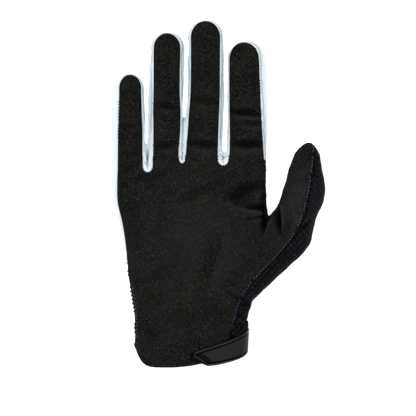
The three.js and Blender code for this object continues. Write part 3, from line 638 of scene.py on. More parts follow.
def inside_distance(line, xy):
    """Distance from points to a closed line, above zero inside it."""
    start, end = line, np.roll(line, -1, axis=0)
    edge = end - start
    size = np.maximum((edge**2).sum(1), 1e-12)
    out = np.empty(len(xy))
    for part in np.array_split(np.arange(len(xy)), max(1, len(xy) // 4000)):
        p = xy[part][:, None, :]
        share = np.clip(((p - start) * edge).sum(2) / size, 0, 1)
        away = p - (start + share[..., None] * edge)
        near = np.sqrt((away**2).sum(2).min(1))
        crosses = (start[:, 1] > p[..., 1]) != (end[:, 1] > p[..., 1])
        level = np.where(np.abs(edge[:, 1]) < 1e-9, 1e-9, edge[:, 1])
        hit = start[:, 0] + (p[..., 1] - start[:, 1]) * edge[:, 0] / level
        odd = (crosses & (p[..., 0] < hit)).sum(1) % 2 == 1
        out[part] = np.where(odd, near, -near)
    return out


OUTLINE = suede_outline()
print("suede outline:", len(OUTLINE), "points")

# %% [markdown]
# The white sides were pressed flat in the packet, so a crease runs along each finger a short way
# outside the suede's edge. Its hollow is dented, and painted grey there as painted shade.

# %% The pressed creases beside the suede
CREASE_OUT = 1.5  # from the suede's edge, seen from above
CREASE_DEPTH = 0.6
CREASE_WIDTH = 0.42
# Where the creases start along the hand: outside the little finger there is none, in the three gaps
# they start where the fingers part, and beside the index finger low on the palm.
CREASE_ZONES = [-36.0, -20.0, 8.0, 34.0]  # the places across the hand where one start ends
CREASE_STARTS = np.array([400.0, 148.0, 167.0, 142.0, 66.0])

suede_distance = inside_distance(OUTLINE, skin_points[:, :2])
wander = 0.3 * np.sin(skin_points[:, 1] / 6.1 + 0.4 * skin_points[:, 0])
wander += 0.15 * np.sin(skin_points[:, 1] / 1.9)
crease = np.exp(-(((-suede_distance - CREASE_OUT - wander) / CREASE_WIDTH) ** 2))
crease_start = CREASE_STARTS[np.searchsorted(CREASE_ZONES, skin_points[:, 0])]
crease *= smooth_step(skin_points[:, 1] - crease_start, 0, 8) * smooth_step(skin_points[:, 2], 3, 6)
crease[skin_normals[:, 2] < 0] = 0
skin_points = skin_points - skin_normals * (CREASE_DEPTH * crease)[:, None]
skin_normals = normals_of(skin_points, skin_triangles)
# painted shade: the crease's hollow is greyed in the colour
painted_light_and_shade = np.minimum(painted_light_and_shade, -0.75 * crease) * (crease > 0.02) + painted_light_and_shade * (crease <= 0.02)
print("creased points:", int((crease > 0.5).sum()))

# %% [markdown]
# Cutting: each seam is a function over the skin that is above zero on one side. Every triangle that
# the seam crosses is split where the function is zero, so the cut edge is as smooth as the line and
# doesn't follow the mesh's own steps.

# %% Cutting a mesh along a line where a function is zero


def cut(mesh, value):
    """Splits a mesh in two: where value is above zero, and the rest.

    A mesh is its triangles and a row of numbers for each point: its place, its normal, its painted
    light and shade, and its distance from the suede's edge.
    """
    points, triangles = mesh
    value = np.where(np.abs(value) < 1e-6, 1e-6, value)
    above = value > 0
    count = above[triangles].sum(1)
    mixed = triangles[(count == 1) | (count == 2)]
    few = above[mixed].sum(1) == 1
    lone = (above[mixed] == few[:, None]).argmax(1)
    rows = np.arange(len(mixed))
    a, b, c = (mixed[rows, (lone + k) % 3] for k in range(3))
    edges = np.sort(np.concatenate([np.stack([a, b], 1), np.stack([a, c], 1)]), axis=1)
    unique, index = np.unique(edges, axis=0, return_inverse=True)
    index = index.reshape(-1)
    low, high = value[unique[:, 0]], value[unique[:, 1]]
    share = (low / (low - high))[:, None]
    new_points = points[unique[:, 0]] * (1 - share) + points[unique[:, 1]] * share
    ab, ac = len(points) + index[: len(mixed)], len(points) + index[len(mixed):]
    tip = np.stack([a, ab, ac], 1)
    rest = np.concatenate([np.stack([ab, b, c], 1), np.stack([ab, c, ac], 1)])
    rest_few = np.concatenate([few, few])
    points = np.concatenate([points, new_points])
    sides = (
        np.concatenate([triangles[count == 3], tip[few], rest[~rest_few]]),
        np.concatenate([triangles[count == 0], tip[~few], rest[rest_few]]),
    )
    return [used_points(points, side) for side in sides]


def used_points(points, triangles):
    """A mesh without the points that no triangle uses."""
    used, inverse = np.unique(triangles, return_inverse=True)
    return points[used], inverse.reshape(-1, 3)


PAINTED_LIGHT_AND_SHADE_COLUMN, EDGE_COLUMN = 6, 7  # the place and the normal are columns 0 to 5
tried = cut((np.eye(3), np.array([[0, 1, 2]])), np.array([1.0, -1.0, -1.0]))
print("one triangle cut across becomes", [len(side[1]) for side in tried])

# %% The seams between the panels
SUEDE_HEIGHT = 10.0  # how low the suede reaches on the sides of the hand
STRIP_HEIGHT = 8.5  # how low the side strips reach between the fingers
CUFF_BACK_LENGTH = 66.0
CUFF_TRIM = 1.2  # how much the turned hem shortens the cuff
THUMB_BACK_LINE = np.array([
    [21.7, -30.0], [21.7, 34.0], [33.0, 65.0], [45.9, 96.2], [GAP_X, 128.0], [GAP_X, 160.0],
    [140.0, 160.0], [140.0, -30.0],
])


def suede_side(p):
    """Above zero inside the suede's outline and above its lowest height."""
    return np.minimum(p[:, EDGE_COLUMN], p[:, 2] - SUEDE_HEIGHT)


def thumb_back_side(p):
    return inside_distance(THUMB_BACK_LINE, p[:, :2])


def strip_side(p, k):
    """Above zero in the strip between finger k and the next one."""
    left, right = finger_at(FINGERS[k], p[:, 1])[0], finger_at(FINGERS[k + 1], p[:, 1])[0]
    start = PALM_LENGTH - 1.3 * WEB_LENGTH
    return np.min([p[:, 0] - left, right - p[:, 0], p[:, 2] - STRIP_HEIGHT, p[:, 1] - start], axis=0)


def cuff_edge_side(p):
    """Above zero on the hand's side of the cuff's edge."""
    left, right, _, _, curve = palm_section(p[:, 1])
    sideways = np.clip(p[:, 0] / np.where(p[:, 0] > 0, right, left), -1, 1)
    return p[:, 1] - CUFF_TRIM - cuff_curve(curve, sideways)


rest = (np.column_stack([skin_points, skin_normals, painted_light_and_shade, suede_distance]), skin_triangles)
rest, _ = cut(rest, cuff_edge_side(rest[0]))
panels = {}
panels["palm_panel"], rest = cut(rest, suede_side(rest[0]))
panels["thumb_back_panel"], rest = cut(rest, thumb_back_side(rest[0]))
for k, name in enumerate(["little_ring", "ring_middle", "middle_index"]):
    panels["fourchette_" + name], rest = cut(rest, strip_side(rest[0], k))
panels["cuff_back_panel"], panels["back_panel"] = cut(rest, CUFF_BACK_LENGTH - rest[0][:, 1])
for name, panel in panels.items():
    print(name, len(panel[1]), "triangles")

# %% [markdown]
# A sewn panel never ends flat: its edge dives into the seam and the cloth puckers between stitches.
# Each panel is lowered towards its own edge by a curve of the distance to it, the suede stands a
# little proud because it is thicker, and a fine ripple runs along the edge. A Solidify modifier then
# gives the real thickness, inwards, with a lining that shows only in the cuff's mouth.

# %% Edges that dive into their seams
PUCKER_PITCH = 3.4
PUCKER_REACH = 2.4  # how far in from the seam the puckers run
FACING_DOWN = -0.5  # what lies on the table stays flat


def edge_distance(points, triangles):
    """How far each point is from its panel's own edge."""
    edges = np.sort(triangles[:, [0, 1, 1, 2, 2, 0]].reshape(-1, 2), axis=1)
    unique, count = np.unique(edges, axis=0, return_counts=True)
    rim = np.unique(unique[count == 1])
    tree = KDTree(len(rim))
    for i in rim:
        tree.insert(points[i], int(i))
    tree.balance()
    return np.array([tree.find(p)[2] for p in points])


def dress(mesh, proud, sink, roll, pucker):
    """Moves a panel's points along their normals by their distance from its edge.

    The puckers' pitch wanders a little, because no seam is gathered evenly.
    """
    rows, triangles = mesh
    points, normals = rows[:, :3], rows[:, 3:6]
    away = edge_distance(points, triangles)
    near = np.exp(-((away / roll) ** 2))
    swing = 2 * np.pi * points[:, 1] / PUCKER_PITCH + 2.2 * np.sin(points[:, 1] / 5.3)
    ripple = np.sin(swing + 0.7 * points[:, 0])
    height = proud * (1 - near) - sink * near
    height += pucker * ripple * np.exp(-((away / PUCKER_REACH) ** 2)) * (1 - near)
    height[normals[:, 2] < FACING_DOWN] = 0
    return points + normals * height[:, None], triangles


print("puckers every", PUCKER_PITCH, "mm and", PUCKER_REACH, "mm long")

# %% A mesh as an object


def mesh_object(name, points, faces, materials):
    mesh = bpy.data.meshes.new(name)
    mesh.from_pydata(to_frame(points).tolist(), [], np.asarray(faces).tolist())
    mesh.polygons.foreach_set("use_smooth", [True] * len(mesh.polygons))
    for material in materials:
        mesh.materials.append(material)
    mesh.update()
    obj = bpy.data.objects.new(name, mesh)
    bpy.context.scene.collection.objects.link(obj)
    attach(obj, "root")
    return obj


# %% [markdown]
# Finishes. Each one starts from what the real material is. One function turns a sRGB hex value into
# the linear colour that Blender wants, and one adds a node with its settings and links. A cloth's
# colour is built up as a dyer would: a ground, and then one colour after another laid over it where
# a pattern, or the lie of the nap, asks for it.

# %% Colours and nodes


def linear(hex_colour):
    """A sRGB hex value as a linear colour with alpha."""
    parts = [int(hex_colour[i:i + 2], 16) / 255 for i in (1, 3, 5)]
    return tuple(c / 12.92 if c <= 0.04045 else ((c + 0.055) / 1.055) ** 2.4 for c in parts) + (1.0,)


def add_node(tree, kind, sockets=None, **settings):
    """Adds a node. Sockets are given a value, or linked if the value is another node's socket."""
    made = tree.nodes.new(kind)
    for key, value in settings.items():
        setattr(made, key, value)
    for key, value in (sockets or {}).items():
        if isinstance(value, bpy.types.NodeSocket):
            tree.links.new(value, made.inputs[key])
        else:
            made.inputs[key].default_value = value
    return made


print("middle grey is", round(linear("#808080")[0], 3), "in linear light")

# %% Making a material


def new_material(name, colour, roughness, **shader_sockets):
    """A material with its shader's plain values set."""
    material = bpy.data.materials.new(name)
    material.use_nodes = True
    inputs = material.node_tree.nodes["Principled BSDF"].inputs
    inputs["Base Color"].default_value = linear(colour)
    inputs["Roughness"].default_value = roughness
    for key, value in shader_sockets.items():
        inputs[key.replace("_", " ")].default_value = value
    return material


def finished(material, colour, height, strength, distance_mm):
    """Gives a material its colour, and a height that tilts the light on it."""
    tree = material.node_tree
    shader = tree.nodes["Principled BSDF"]
    sockets = {"Height": height, "Strength": strength, "Distance": distance_mm * MM}
    bump = add_node(tree, "ShaderNodeBump", sockets)
    tree.links.new(colour, shader.inputs["Base Color"])
    tree.links.new(bump.outputs["Normal"], shader.inputs["Normal"])
    print("made", material.name)
    return material


# %% One colour laid over another


def tinted(tree, under, value, low, high, share, colour):
    """Lays a colour over another: none of it where a value is low, and this share where it is high."""
    sockets = {"Value": value, "From Min": low, "From Max": high, "To Max": share}
    amount = add_node(tree, "ShaderNodeMapRange", sockets).outputs["Result"]
    under = linear(under) if isinstance(under, str) else under
    sockets = {0: amount, 6: under, 7: linear(colour)}
    return add_node(tree, "ShaderNodeMix", sockets, data_type="RGBA").outputs[2]


# %% [markdown]
# Microsuede is a polyester cloth whose surface is sanded into a short nap. It has no gloss, and the
# lie of the nap makes it speckle, here with a faint green-brown cast. The real fibres are 0.01 mm,
# too fine to show, so the speckle is drawn in clumps of half a millimetre and more, as a camera sees
# the nap. The folds' number from above paints shade into the creases and paints light on their
# ridges.

# %% Black microsuede
NAP_CLUMP = 0.5
FLECK = 0.7  # a rare tuft that stands up and shines paler
BRUSHED_PATCH = 14.0


def microsuede():
    material = new_material("microsuede", "#141413", 0.95, Specular_IOR_Level=0.02)
    tree = material.node_tree
    place = add_node(tree, "ShaderNodeTexCoord").outputs["Object"]
    speckles = []
    for size in (NAP_CLUMP, FLECK):
        cells = add_node(tree, "ShaderNodeTexVoronoi", {"Vector": place, "Scale": 1 / (size * MM)})
        split = add_node(tree, "ShaderNodeSeparateColor", {"Color": cells.outputs["Color"]})
        speckles.append(split.outputs["Red"])  # one random value for each cell
    clump, rare = speckles
    sockets = {"Vector": place, "Scale": 1 / (BRUSHED_PATCH * MM), "Detail": 3.0}
    brushed = add_node(tree, "ShaderNodeTexNoise", sockets).outputs["Fac"]
    painted_light_and_shade = add_node(tree, "ShaderNodeAttribute", attribute_name="painted_light_and_shade").outputs["Fac"]
    colour = tinted(tree, "#080808", clump, 0.1, 1.0, 1.0, "#262624")
    colour = tinted(tree, colour, brushed, 0.5, 0.7, 0.3, "#1e1e1e")
    colour = tinted(tree, colour, brushed, 0.5, 0.3, 0.4, "#090909")
    colour = tinted(tree, colour, rare, 0.94, 1.0, 0.5, "#45443a")
    # painted light on the ridges and raised patches, then painted shade in the creases
    colour = tinted(tree, colour, painted_light_and_shade, 0.0, 0.5, 0.5, "#30302f")
    colour = tinted(tree, colour, painted_light_and_shade, 0.0, -1.0, 0.96, "#020202")
    return finished(material, colour, clump, 0.25, 0.1)


MICROSUEDE = microsuede()

# %% [markdown]
# The back is a white polyester knit with stretch. Its loops are about 0.4 mm wide; they are drawn
# 0.8 mm wide so that they show. The knit scatters light softly, and its hollows look faintly blue.

# %% White stretch knit
WAVE_PITCH = math.pi / 10  # of a wave texture at a scale of one
KNIT_LOOP = 0.8


def stretch_knit():
    material = new_material(
        "stretch_knit", "#e4edf2", 0.75, Specular_IOR_Level=0.3, Sheen_Weight=0.1, Sheen_Roughness=0.4
    )
    tree = material.node_tree
    place = add_node(tree, "ShaderNodeTexCoord").outputs["Object"]
    threads = []
    for way, bend in (("Y", 1.2), ("X", 0.8)):
        sockets = {"Vector": place, "Scale": WAVE_PITCH / (KNIT_LOOP * MM), "Distortion": bend}
        wave = add_node(tree, "ShaderNodeTexWave", sockets, bands_direction=way)
        threads.append(wave.outputs["Fac"])
    loops = add_node(tree, "ShaderNodeMath", dict(enumerate(threads)), operation="MULTIPLY").outputs[0]
    painted_light_and_shade = add_node(tree, "ShaderNodeAttribute", attribute_name="painted_light_and_shade").outputs["Fac"]
    colour = tinted(tree, "#dbe5ea", loops, 0.0, 1.0, 1.0, "#f1f7fa")
    # painted shade in the pressed creases and the crotches' pinches
    colour = tinted(tree, colour, painted_light_and_shade, 0.0, -0.8, 0.8, "#8d999f")
    # a dark painted shadow where the gap between the little and ring fingers closes
    colour = tinted(tree, colour, painted_light_and_shade, -1.1, -1.5, 0.95, "#2b2321")
    return finished(material, colour, loops, 0.4, 0.12)


STRETCH_KNIT = stretch_knit()

# %% [markdown]
# Ripstop is a thin nylon plain weave with a thicker thread every few millimetres, so a tear stops
# there. On black cloth the thick threads catch the light as a faint purple-grey grid of 3 mm, and
# only here and there.

# %% Black ripstop
GRID_PITCH = 3.0
GRID_ANGLE = math.radians(-47)
GLINT_PATCH = 1.4  # how far a thread glints before it goes dark again
WEAVE_PATCH = 0.9


def ripstop():
    material = new_material("ripstop_nylon", "#0b0a0d", 0.8, Specular_IOR_Level=0.05)
    tree = material.node_tree
    place = add_node(tree, "ShaderNodeTexCoord").outputs["Object"]
    turned = add_node(tree, "ShaderNodeMapping", {"Vector": place, "Rotation": (0, 0, GRID_ANGLE)})
    turned = turned.outputs["Vector"]
    threads = []
    for way in "XY":
        sockets = {"Vector": turned, "Scale": WAVE_PITCH / (GRID_PITCH * MM), "Distortion": 0.4}
        wave = add_node(tree, "ShaderNodeTexWave", sockets, bands_direction=way).outputs["Fac"]
        thin = add_node(tree, "ShaderNodeMapRange", {"Value": wave, "From Min": 0.9})
        threads.append(thin.outputs["Result"])
    grid = add_node(tree, "ShaderNodeMath", dict(enumerate(threads)), operation="MAXIMUM").outputs[0]
    patches = add_node(tree, "ShaderNodeTexNoise", {"Vector": place, "Scale": 1 / (GLINT_PATCH * MM)})
    sockets = {"Value": patches.outputs["Fac"], "From Min": 0.45, "From Max": 0.65}
    glint = add_node(tree, "ShaderNodeMapRange", sockets).outputs["Result"]
    seen = add_node(tree, "ShaderNodeMath", {0: grid, 1: glint}, operation="MULTIPLY").outputs[0]
    sockets = {"Vector": place, "Scale": 1 / (WEAVE_PATCH * MM), "Roughness": 0.6}
    weave = add_node(tree, "ShaderNodeTexNoise", sockets).outputs["Fac"]
    painted_light_and_shade = add_node(tree, "ShaderNodeAttribute", attribute_name="painted_light_and_shade").outputs["Fac"]
    colour = tinted(tree, "#030303", weave, 0.4, 0.65, 1.0, "#080709")
    colour = tinted(tree, colour, seen, 0.0, 1.0, 1.0, "#2d2a32")
    # painted light on the ridge beside the thumb's fold and on the raised patches
    colour = tinted(tree, colour, painted_light_and_shade, 0.0, 0.4, 0.6, "#242126")
    return finished(material, colour, grid, 0.5, 0.12)


RIPSTOP = ripstop()

# %% [markdown]
# The tab is moulded thermoplastic rubber: even, near black and satin, with a finely blasted field
# that scatters more light than its polished rim. The hook pad is a bristle of nylon hooks, the
# lining a brushed knit, and the seams are sewn with polyester thread: black along the fingers and
# the side of the hand, blue-violet down the thumb and beside the cuff, and grey in the crotches.

# %% Rubber, hooks, thread and lining


def grained(name, colour, second, roughness, grain_mm, strength, **shader_sockets):
    """A finish with one grain in its colour and its relief."""
    material = new_material(name, colour, roughness, **shader_sockets)
    tree = material.node_tree
    place = add_node(tree, "ShaderNodeTexCoord").outputs["Object"]
    sockets = {"Vector": place, "Scale": 1 / (grain_mm * MM), "Detail": 4.0, "Roughness": 0.6}
    clumps = add_node(tree, "ShaderNodeTexNoise", sockets).outputs["Fac"]
    shade = tinted(tree, colour, clumps, 0.35, 0.65, 1.0, second)
    return finished(material, shade, clumps, strength, 0.1)


POLISHED_RUBBER = grained("polished_rubber", "#0c0c0c", "#121212", 0.4, 0.8, 0.05, Specular_IOR_Level=0.3)
SATIN_RUBBER = grained("satin_rubber", "#070707", "#0b0b0b", 0.6, 0.8, 0.1, Specular_IOR_Level=0.05)
BLASTED_RUBBER = grained("blasted_rubber", "#161716", "#1d1e1d", 0.6, 0.6, 0.3, Specular_IOR_Level=0.12)
HOOK_TAPE = grained("hook_tape", "#030303", "#090909", 0.8, 0.5, 0.8, Specular_IOR_Level=0.05)
NYLON_HOOKS = grained("nylon_hooks", "#040404", "#202020", 0.5, 0.5, 0.2, Specular_IOR_Level=0.08)
BRUSHED_LINING = grained("brushed_lining", "#0b0b0c", "#131315", 0.9, 0.8, 0.4, Specular_IOR_Level=0.2)
CUFF_KNIT = grained("cuff_knit", "#0d0d0f", "#161619", 0.85, 0.7, 0.5, Specular_IOR_Level=0.2)
BLACK_THREAD = grained("black_thread", "#101010", "#181818", 0.7, 0.3, 0.4)
VIOLET_THREAD = grained("violet_thread", "#3d4663", "#646d8d", 0.7, 0.4, 0.3)
GREY_THREAD = grained("grey_thread", "#2a2e30", "#5a6165", 0.7, 0.4, 0.3)

# %% Woven webbing
RIB_PITCH = 1.2  # real webbing has ribs of about 0.8 mm


def webbing():
    material = new_material("nylon_webbing", "#0e0e10", 0.75, Specular_IOR_Level=0.06)
    tree = material.node_tree
    place = add_node(tree, "ShaderNodeTexCoord").outputs["Object"]
    sockets = {"Vector": place, "Scale": WAVE_PITCH / (RIB_PITCH * MM), "Distortion": 0.6}
    ribs = add_node(tree, "ShaderNodeTexWave", sockets).outputs["Fac"]
    colour = tinted(tree, "#070708", ribs, 0.0, 1.0, 1.0, "#151517")
    return finished(material, colour, ribs, 0.6, 0.2)


WEBBING = webbing()

# %% Panels become pieces
PANEL_THICKNESS = 1.2
# Proud is how far a panel stands out, sink how deep its edge dives, roll over what length, and pucker
# how high it puckers beside the seam.
STRIP_FINISH = {
    "material": STRETCH_KNIT, "slot": "stretch_cloth",
    "proud": 0.0, "sink": 0.5, "roll": 0.6, "pucker": 0.1,
}
PANEL_FINISH = {
    "palm_panel": {
        "material": MICROSUEDE, "slot": "palm_suede",
        "proud": 0.35, "sink": 0.15, "roll": 0.45, "pucker": 0.04,
    },
    "back_panel": {
        "material": STRETCH_KNIT, "slot": "stretch_cloth",
        "proud": 0.0, "sink": 0.5, "roll": 0.7, "pucker": 0.12,
    },
    "thumb_back_panel": {
        "material": RIPSTOP, "slot": "ripstop_cloth",
        "proud": 0.1, "sink": 0.35, "roll": 0.8, "pucker": 0.16,
    },
    "cuff_back_panel": {
        "material": CUFF_KNIT, "slot": "cuff_cloth",
        "proud": 0.0, "sink": 0.4, "roll": 0.8, "pucker": 0.1,
    },
}


def make_panel(name, mesh):
    finish = PANEL_FINISH.get(name, STRIP_FINISH)
    points, triangles = dress(mesh, finish["proud"], finish["sink"], finish["roll"], finish["pucker"])
    obj = mesh_object(name + "_cloth", points, triangles, [finish["material"], BRUSHED_LINING])
    painted_light_and_shade_layer = obj.data.attributes.new("painted_light_and_shade", "FLOAT", "POINT")
    painted_light_and_shade_layer.data.foreach_set("value", mesh[0][:, PAINTED_LIGHT_AND_SHADE_COLUMN])
    thick = obj.modifiers.new("thickness", "SOLIDIFY")
    thick.thickness = PANEL_THICKNESS * MM
    thick.offset = -1
    thick.material_offset = 1
    thick.material_offset_rim = 0
    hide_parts(name)
    return obj


cloth = {name: make_panel(name, mesh) for name, mesh in panels.items()}
print("panels:", ", ".join(obj.name for obj in cloth.values()))

# %% [markdown]
# The strap comes round the thumb side of the wrist and slopes down over the palm to its tab. It lies
# on the wrist like a belt, so each of its points is a place round the wrist, a distance along the
# hand and a height above the cloth. A grid of such points, top and bottom, makes each piece.

# %% Places on the wrist
# Distances along the hand of the strap's and the tab's edges. At is 0 at the side of the wrist and 1
# in the middle of the palm side.
STRAP_ROWS = table(
    "at low high tab_low tab_high",
    (0.0, 11.0, 31.0, 10.6, 26.0),
    (0.1, 7.9, 25.6, 7.7, 22.8),
    (0.3, 5.3, 20.0, 4.9, 19.0),
    (0.6, 2.8, 15.6, 2.6, 15.2),
    (1.0, 2.0, 11.0, 2.0, 10.6),
)


def on_wrist(angle, along, height):
    """Points a height above the wrist, at angles round it and distances along the hand."""
    sideways = squared(np.cos(angle), SIDE_ROUNDNESS)
    station = along
    for _ in range(5):  # the edge's curve depends on the station, so it is closed in on
        station = along - cuff_curve(palm_section(station)[4], sideways)
    left, right, depth, lift, _ = palm_section(station)
    step = 0.04
    across, z, _ = section(left, right, depth, lift, angle)
    ahead_x, ahead_z, _ = section(left, right, depth, lift, angle + step)
    back_x, back_z, _ = section(left, right, depth, lift, angle - step)
    round_x, round_z = ahead_x - back_x, ahead_z - back_z
    size = np.hypot(round_x, round_z)
    return np.stack([across + round_z / size * height, along, z - round_x / size * height], axis=-1)


def strap_along(angle, across, low_key, high_key):
    """The distance along the hand. Across is 0 at a piece's lower edge and 1 at its upper one."""
    inward = np.where(np.sin(angle) > 0, 1 - squared(np.cos(angle), SIDE_ROUNDNESS), 0)
    low, high = column(STRAP_ROWS, low_key, inward), column(STRAP_ROWS, high_key, inward)
    return low + (high - low) * across


def slanted(start, tip, slant, blunt, share, across):
    """The angle round the wrist at a share of a piece's length.

    The far end is square above the blunt share of the width, and slants back below it.
    """
    return start + (tip - start) * share - slant * share**4 * np.maximum(blunt - across, 0) ** 1.3


def spread_grid(rows, cols):
    return np.meshgrid(np.linspace(0, 1, rows), np.linspace(0, 1, cols), indexing="ij")


def slab(name, angle, along, low, high, materials):
    """A closed slab on the wrist from grids of angles, distances and heights."""
    top = on_wrist(angle, along, high).reshape(-1, 3)
    bottom = on_wrist(angle, along, low).reshape(-1, 3)
    rows, cols = angle.shape
    count = rows * cols
    grid = np.arange(count).reshape(rows, cols)
    corners = [grid[:-1, :-1], grid[1:, :-1], grid[1:, 1:], grid[:-1, 1:]]
    upper = np.stack(corners, -1).reshape(-1, 4)
    loop = np.concatenate([grid[:-1, 0], grid[-1, :-1], grid[:0:-1, -1], grid[0, :0:-1]])
    following = np.roll(loop, -1)
    wall = np.stack([loop, loop + count, following + count, following], 1)
    faces = np.concatenate([upper, upper[:, ::-1] + count, wall])
    if np.cross(top[cols] - top[0], top[1] - top[0]) @ (top[0] - bottom[0]) < 0:
        faces = faces[:, ::-1]
    return mesh_object(name, np.concatenate([top, bottom]), faces, materials)


wrist_top = on_wrist(np.array([math.pi / 2]), np.array([STRAP_ROWS[-1]["low"]]), 0)[0]
print("middle of the strap's lower edge on the palm side, mm", wrist_top.round(1))

# %% The webbing strap
STRAP_START, STRAP_END = math.radians(-112), math.radians(40)
SELVEDGE = 0.6  # how far in the webbing's edge is rounded
UPPER_DRAW = 0.6  # how much the strap is stretched thin along its upper edge


def wrist_strap():
    share, across = spread_grid(140, 40)
    angle = STRAP_START + (STRAP_END - STRAP_START) * share
    along = strap_along(angle, across, "low", "high")
    edge = np.minimum(across, 1 - across) * (STRAP_ROWS[0]["high"] - STRAP_ROWS[0]["low"])
    rounding = 0.5 * np.exp(-((edge / SELVEDGE) ** 2))
    drawn = UPPER_DRAW * smooth_step(across, 0.78, 1.0)
    low, high = SEAT_GAP + 0.5 * rounding, SEAT_GAP + STRAP_THICKNESS - rounding - drawn
    obj = slab("wrist_strap_webbing", angle, along, low, high, [WEBBING])
    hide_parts("wrist_strap")
    return obj


strap = wrist_strap()
print("strap", len(strap.data.polygons), "faces")

# %% [markdown]
# The hook pad reaches a little past the tab and shows there as a dark bristly edge. It is a thin
# slab with a crop of small hooks; real ones are 0.2 mm thick, and these are a little thicker so that
# they show.

# %% The hook pad
PAD_THICKNESS = 1.2
PAD_START, PAD_TIP = math.radians(48), math.radians(91)
PAD_SLANT, PAD_BLUNT = math.radians(46), 0.45
PAD_TOP = SEAT_GAP + STRAP_THICKNESS
BRISTLE = 0.35
rng = np.random.default_rng(7)


def hook_pad():
    share, across = spread_grid(60, 30)
    angle = slanted(PAD_START, PAD_TIP, PAD_SLANT, PAD_BLUNT, share, across)
    along = strap_along(angle, across, "tab_low", "tab_high")
    high = PAD_TOP - BRISTLE - 0.12 * rng.random(angle.shape)
    low = np.full(angle.shape, PAD_TOP - PAD_THICKNESS)
    obj = slab("hook_pad_tape", angle, along, low, high, [HOOK_TAPE])
    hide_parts("hook_pad")
    return obj


pad = hook_pad()
print("pad", len(pad.data.polygons), "faces")

# %% [markdown]
# The tab is a slab with a raised rim, a sunk border inside it and a flat field, ending in a blunt tip
# that slants back below, with rounded corners. All of that is one height for each point of a grid,
# worked out from its distance to the edge, so the steps get the soft corners of a moulding.

# %% The moulded tab
TAB_START, TAB_TIP = math.radians(-18), math.radians(88.7)
TAB_SLANT, TAB_BLUNT = math.radians(21.6), 0.74
TAB_THICKNESS = 1.4
TAB_START_THICKNESS = 0.35  # it thins out towards the side of the wrist
THINNING = (math.radians(0), math.radians(32))
TAB_LENGTH = 48.0
TIP_ROUND = 1.2  # the tip's corners are rounded over this length, and cut off by these heights
UPPER_CORNER, LOWER_CORNER = 1.3, 0.8
RIM_WIDTH, RIM_HEIGHT = 1.1, 0.5
RIM_FADE = (math.radians(5), math.radians(35))  # the rim runs out towards the side of the wrist
GROOVE_WIDTH, GROOVE_DEPTH = 0.9, 0.9
TIP_BORDER = 4.4  # of the sunk border at the tip
FIELD_HEIGHT = 0.35
EDGE_RADIUS = 0.45
STEP_WIDTH = 0.25


def moulded_tab():
    share, across = spread_grid(300, 110)
    low_angle = slanted(TAB_START, TAB_TIP, TAB_SLANT, TAB_BLUNT, share, 0.0)
    high_angle = slanted(TAB_START, TAB_TIP, TAB_SLANT, TAB_BLUNT, share, 1.0)
    width = strap_along(high_angle, 1.0, "tab_low", "tab_high")
    width -= strap_along(low_angle, 0.0, "tab_low", "tab_high")
    corner = np.clip(1 - (1 - share) * TAB_LENGTH / TIP_ROUND, 0, 1)
    cut_off = (1 - np.sqrt(1 - corner**2)) / width
    across = LOWER_CORNER * cut_off + across * (1 - (LOWER_CORNER + UPPER_CORNER) * cut_off)
    angle = slanted(TAB_START, TAB_TIP, TAB_SLANT, TAB_BLUNT, share, across)
    along = strap_along(angle, across, "tab_low", "tab_high")
    base = SEAT_GAP + STRAP_THICKNESS + SEAT_GAP
    steps = np.linalg.norm(np.diff(on_wrist(angle, along, base), axis=0), axis=2)
    run = np.concatenate([np.zeros((1, steps.shape[1])), np.cumsum(steps, axis=0)])
    from_tip, side = run[-1] - run, np.minimum(across, 1 - across) * width
    edge = np.minimum(np.minimum(side, from_tip), run)
    rim = 1 - smooth_step(edge, RIM_WIDTH, RIM_WIDTH + STEP_WIDTH)
    rim_height = RIM_HEIGHT * (0.2 + 0.8 * smooth_step(angle, *RIM_FADE))
    inset = RIM_WIDTH + GROOVE_WIDTH
    groove = (1 - rim) * (1 - smooth_step(edge, inset, inset + STEP_WIDTH))
    field = smooth_step(np.minimum(side, run), inset, inset + STEP_WIDTH)
    field *= smooth_step(from_tip, RIM_WIDTH + TIP_BORDER, RIM_WIDTH + TIP_BORDER + STEP_WIDTH)
    corner = np.clip(1 - edge / EDGE_RADIUS, 0, 1)
    rounding = EDGE_RADIUS * (1 - np.sqrt(1 - corner**2))
    full = smooth_step(angle, *THINNING)
    thickness = TAB_START_THICKNESS + (TAB_THICKNESS - TAB_START_THICKNESS) * full
    high = base + thickness + rim_height * rim + FIELD_HEIGHT * full * field
    high -= rounding + GROOVE_DEPTH * (0.2 + 0.8 * full) * groove
    low = np.full(angle.shape, base)
    finishes = [SATIN_RUBBER, BLASTED_RUBBER, POLISHED_RUBBER]
    obj = slab("strap_tab_moulding", angle, along, low, high, finishes)
    finish = np.where(field > 0.5, 1, np.where(rim > 0.5, 2, 0))[:-1, :-1].reshape(-1)
    walls = np.zeros(len(obj.data.polygons) - len(finish), int)
    obj.data.polygons.foreach_set("material_index", np.concatenate([finish, walls]))
    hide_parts("strap_tab")
    return obj


tab = moulded_tab()
print("tab", len(tab.data.polygons), "faces")

# %% [markdown]
# Thread. A lockstitch shows as a row of short rounded bars. Each is a small capsule laid on the
# cloth: its place is found by shooting a line at the finished panels, from above or from the side.

# %% Small bars
BAR_SIDES = 6
# Each ring's place, from 0 at the bar's start to 1 at its end and in radii beyond them, and its size.
BAR_RINGS = [(-0.6, 0.5), (0.0, 0.95), (0.0, 1.0), (1.0, 1.0), (1.0, 0.95), (1.6, 0.5)]


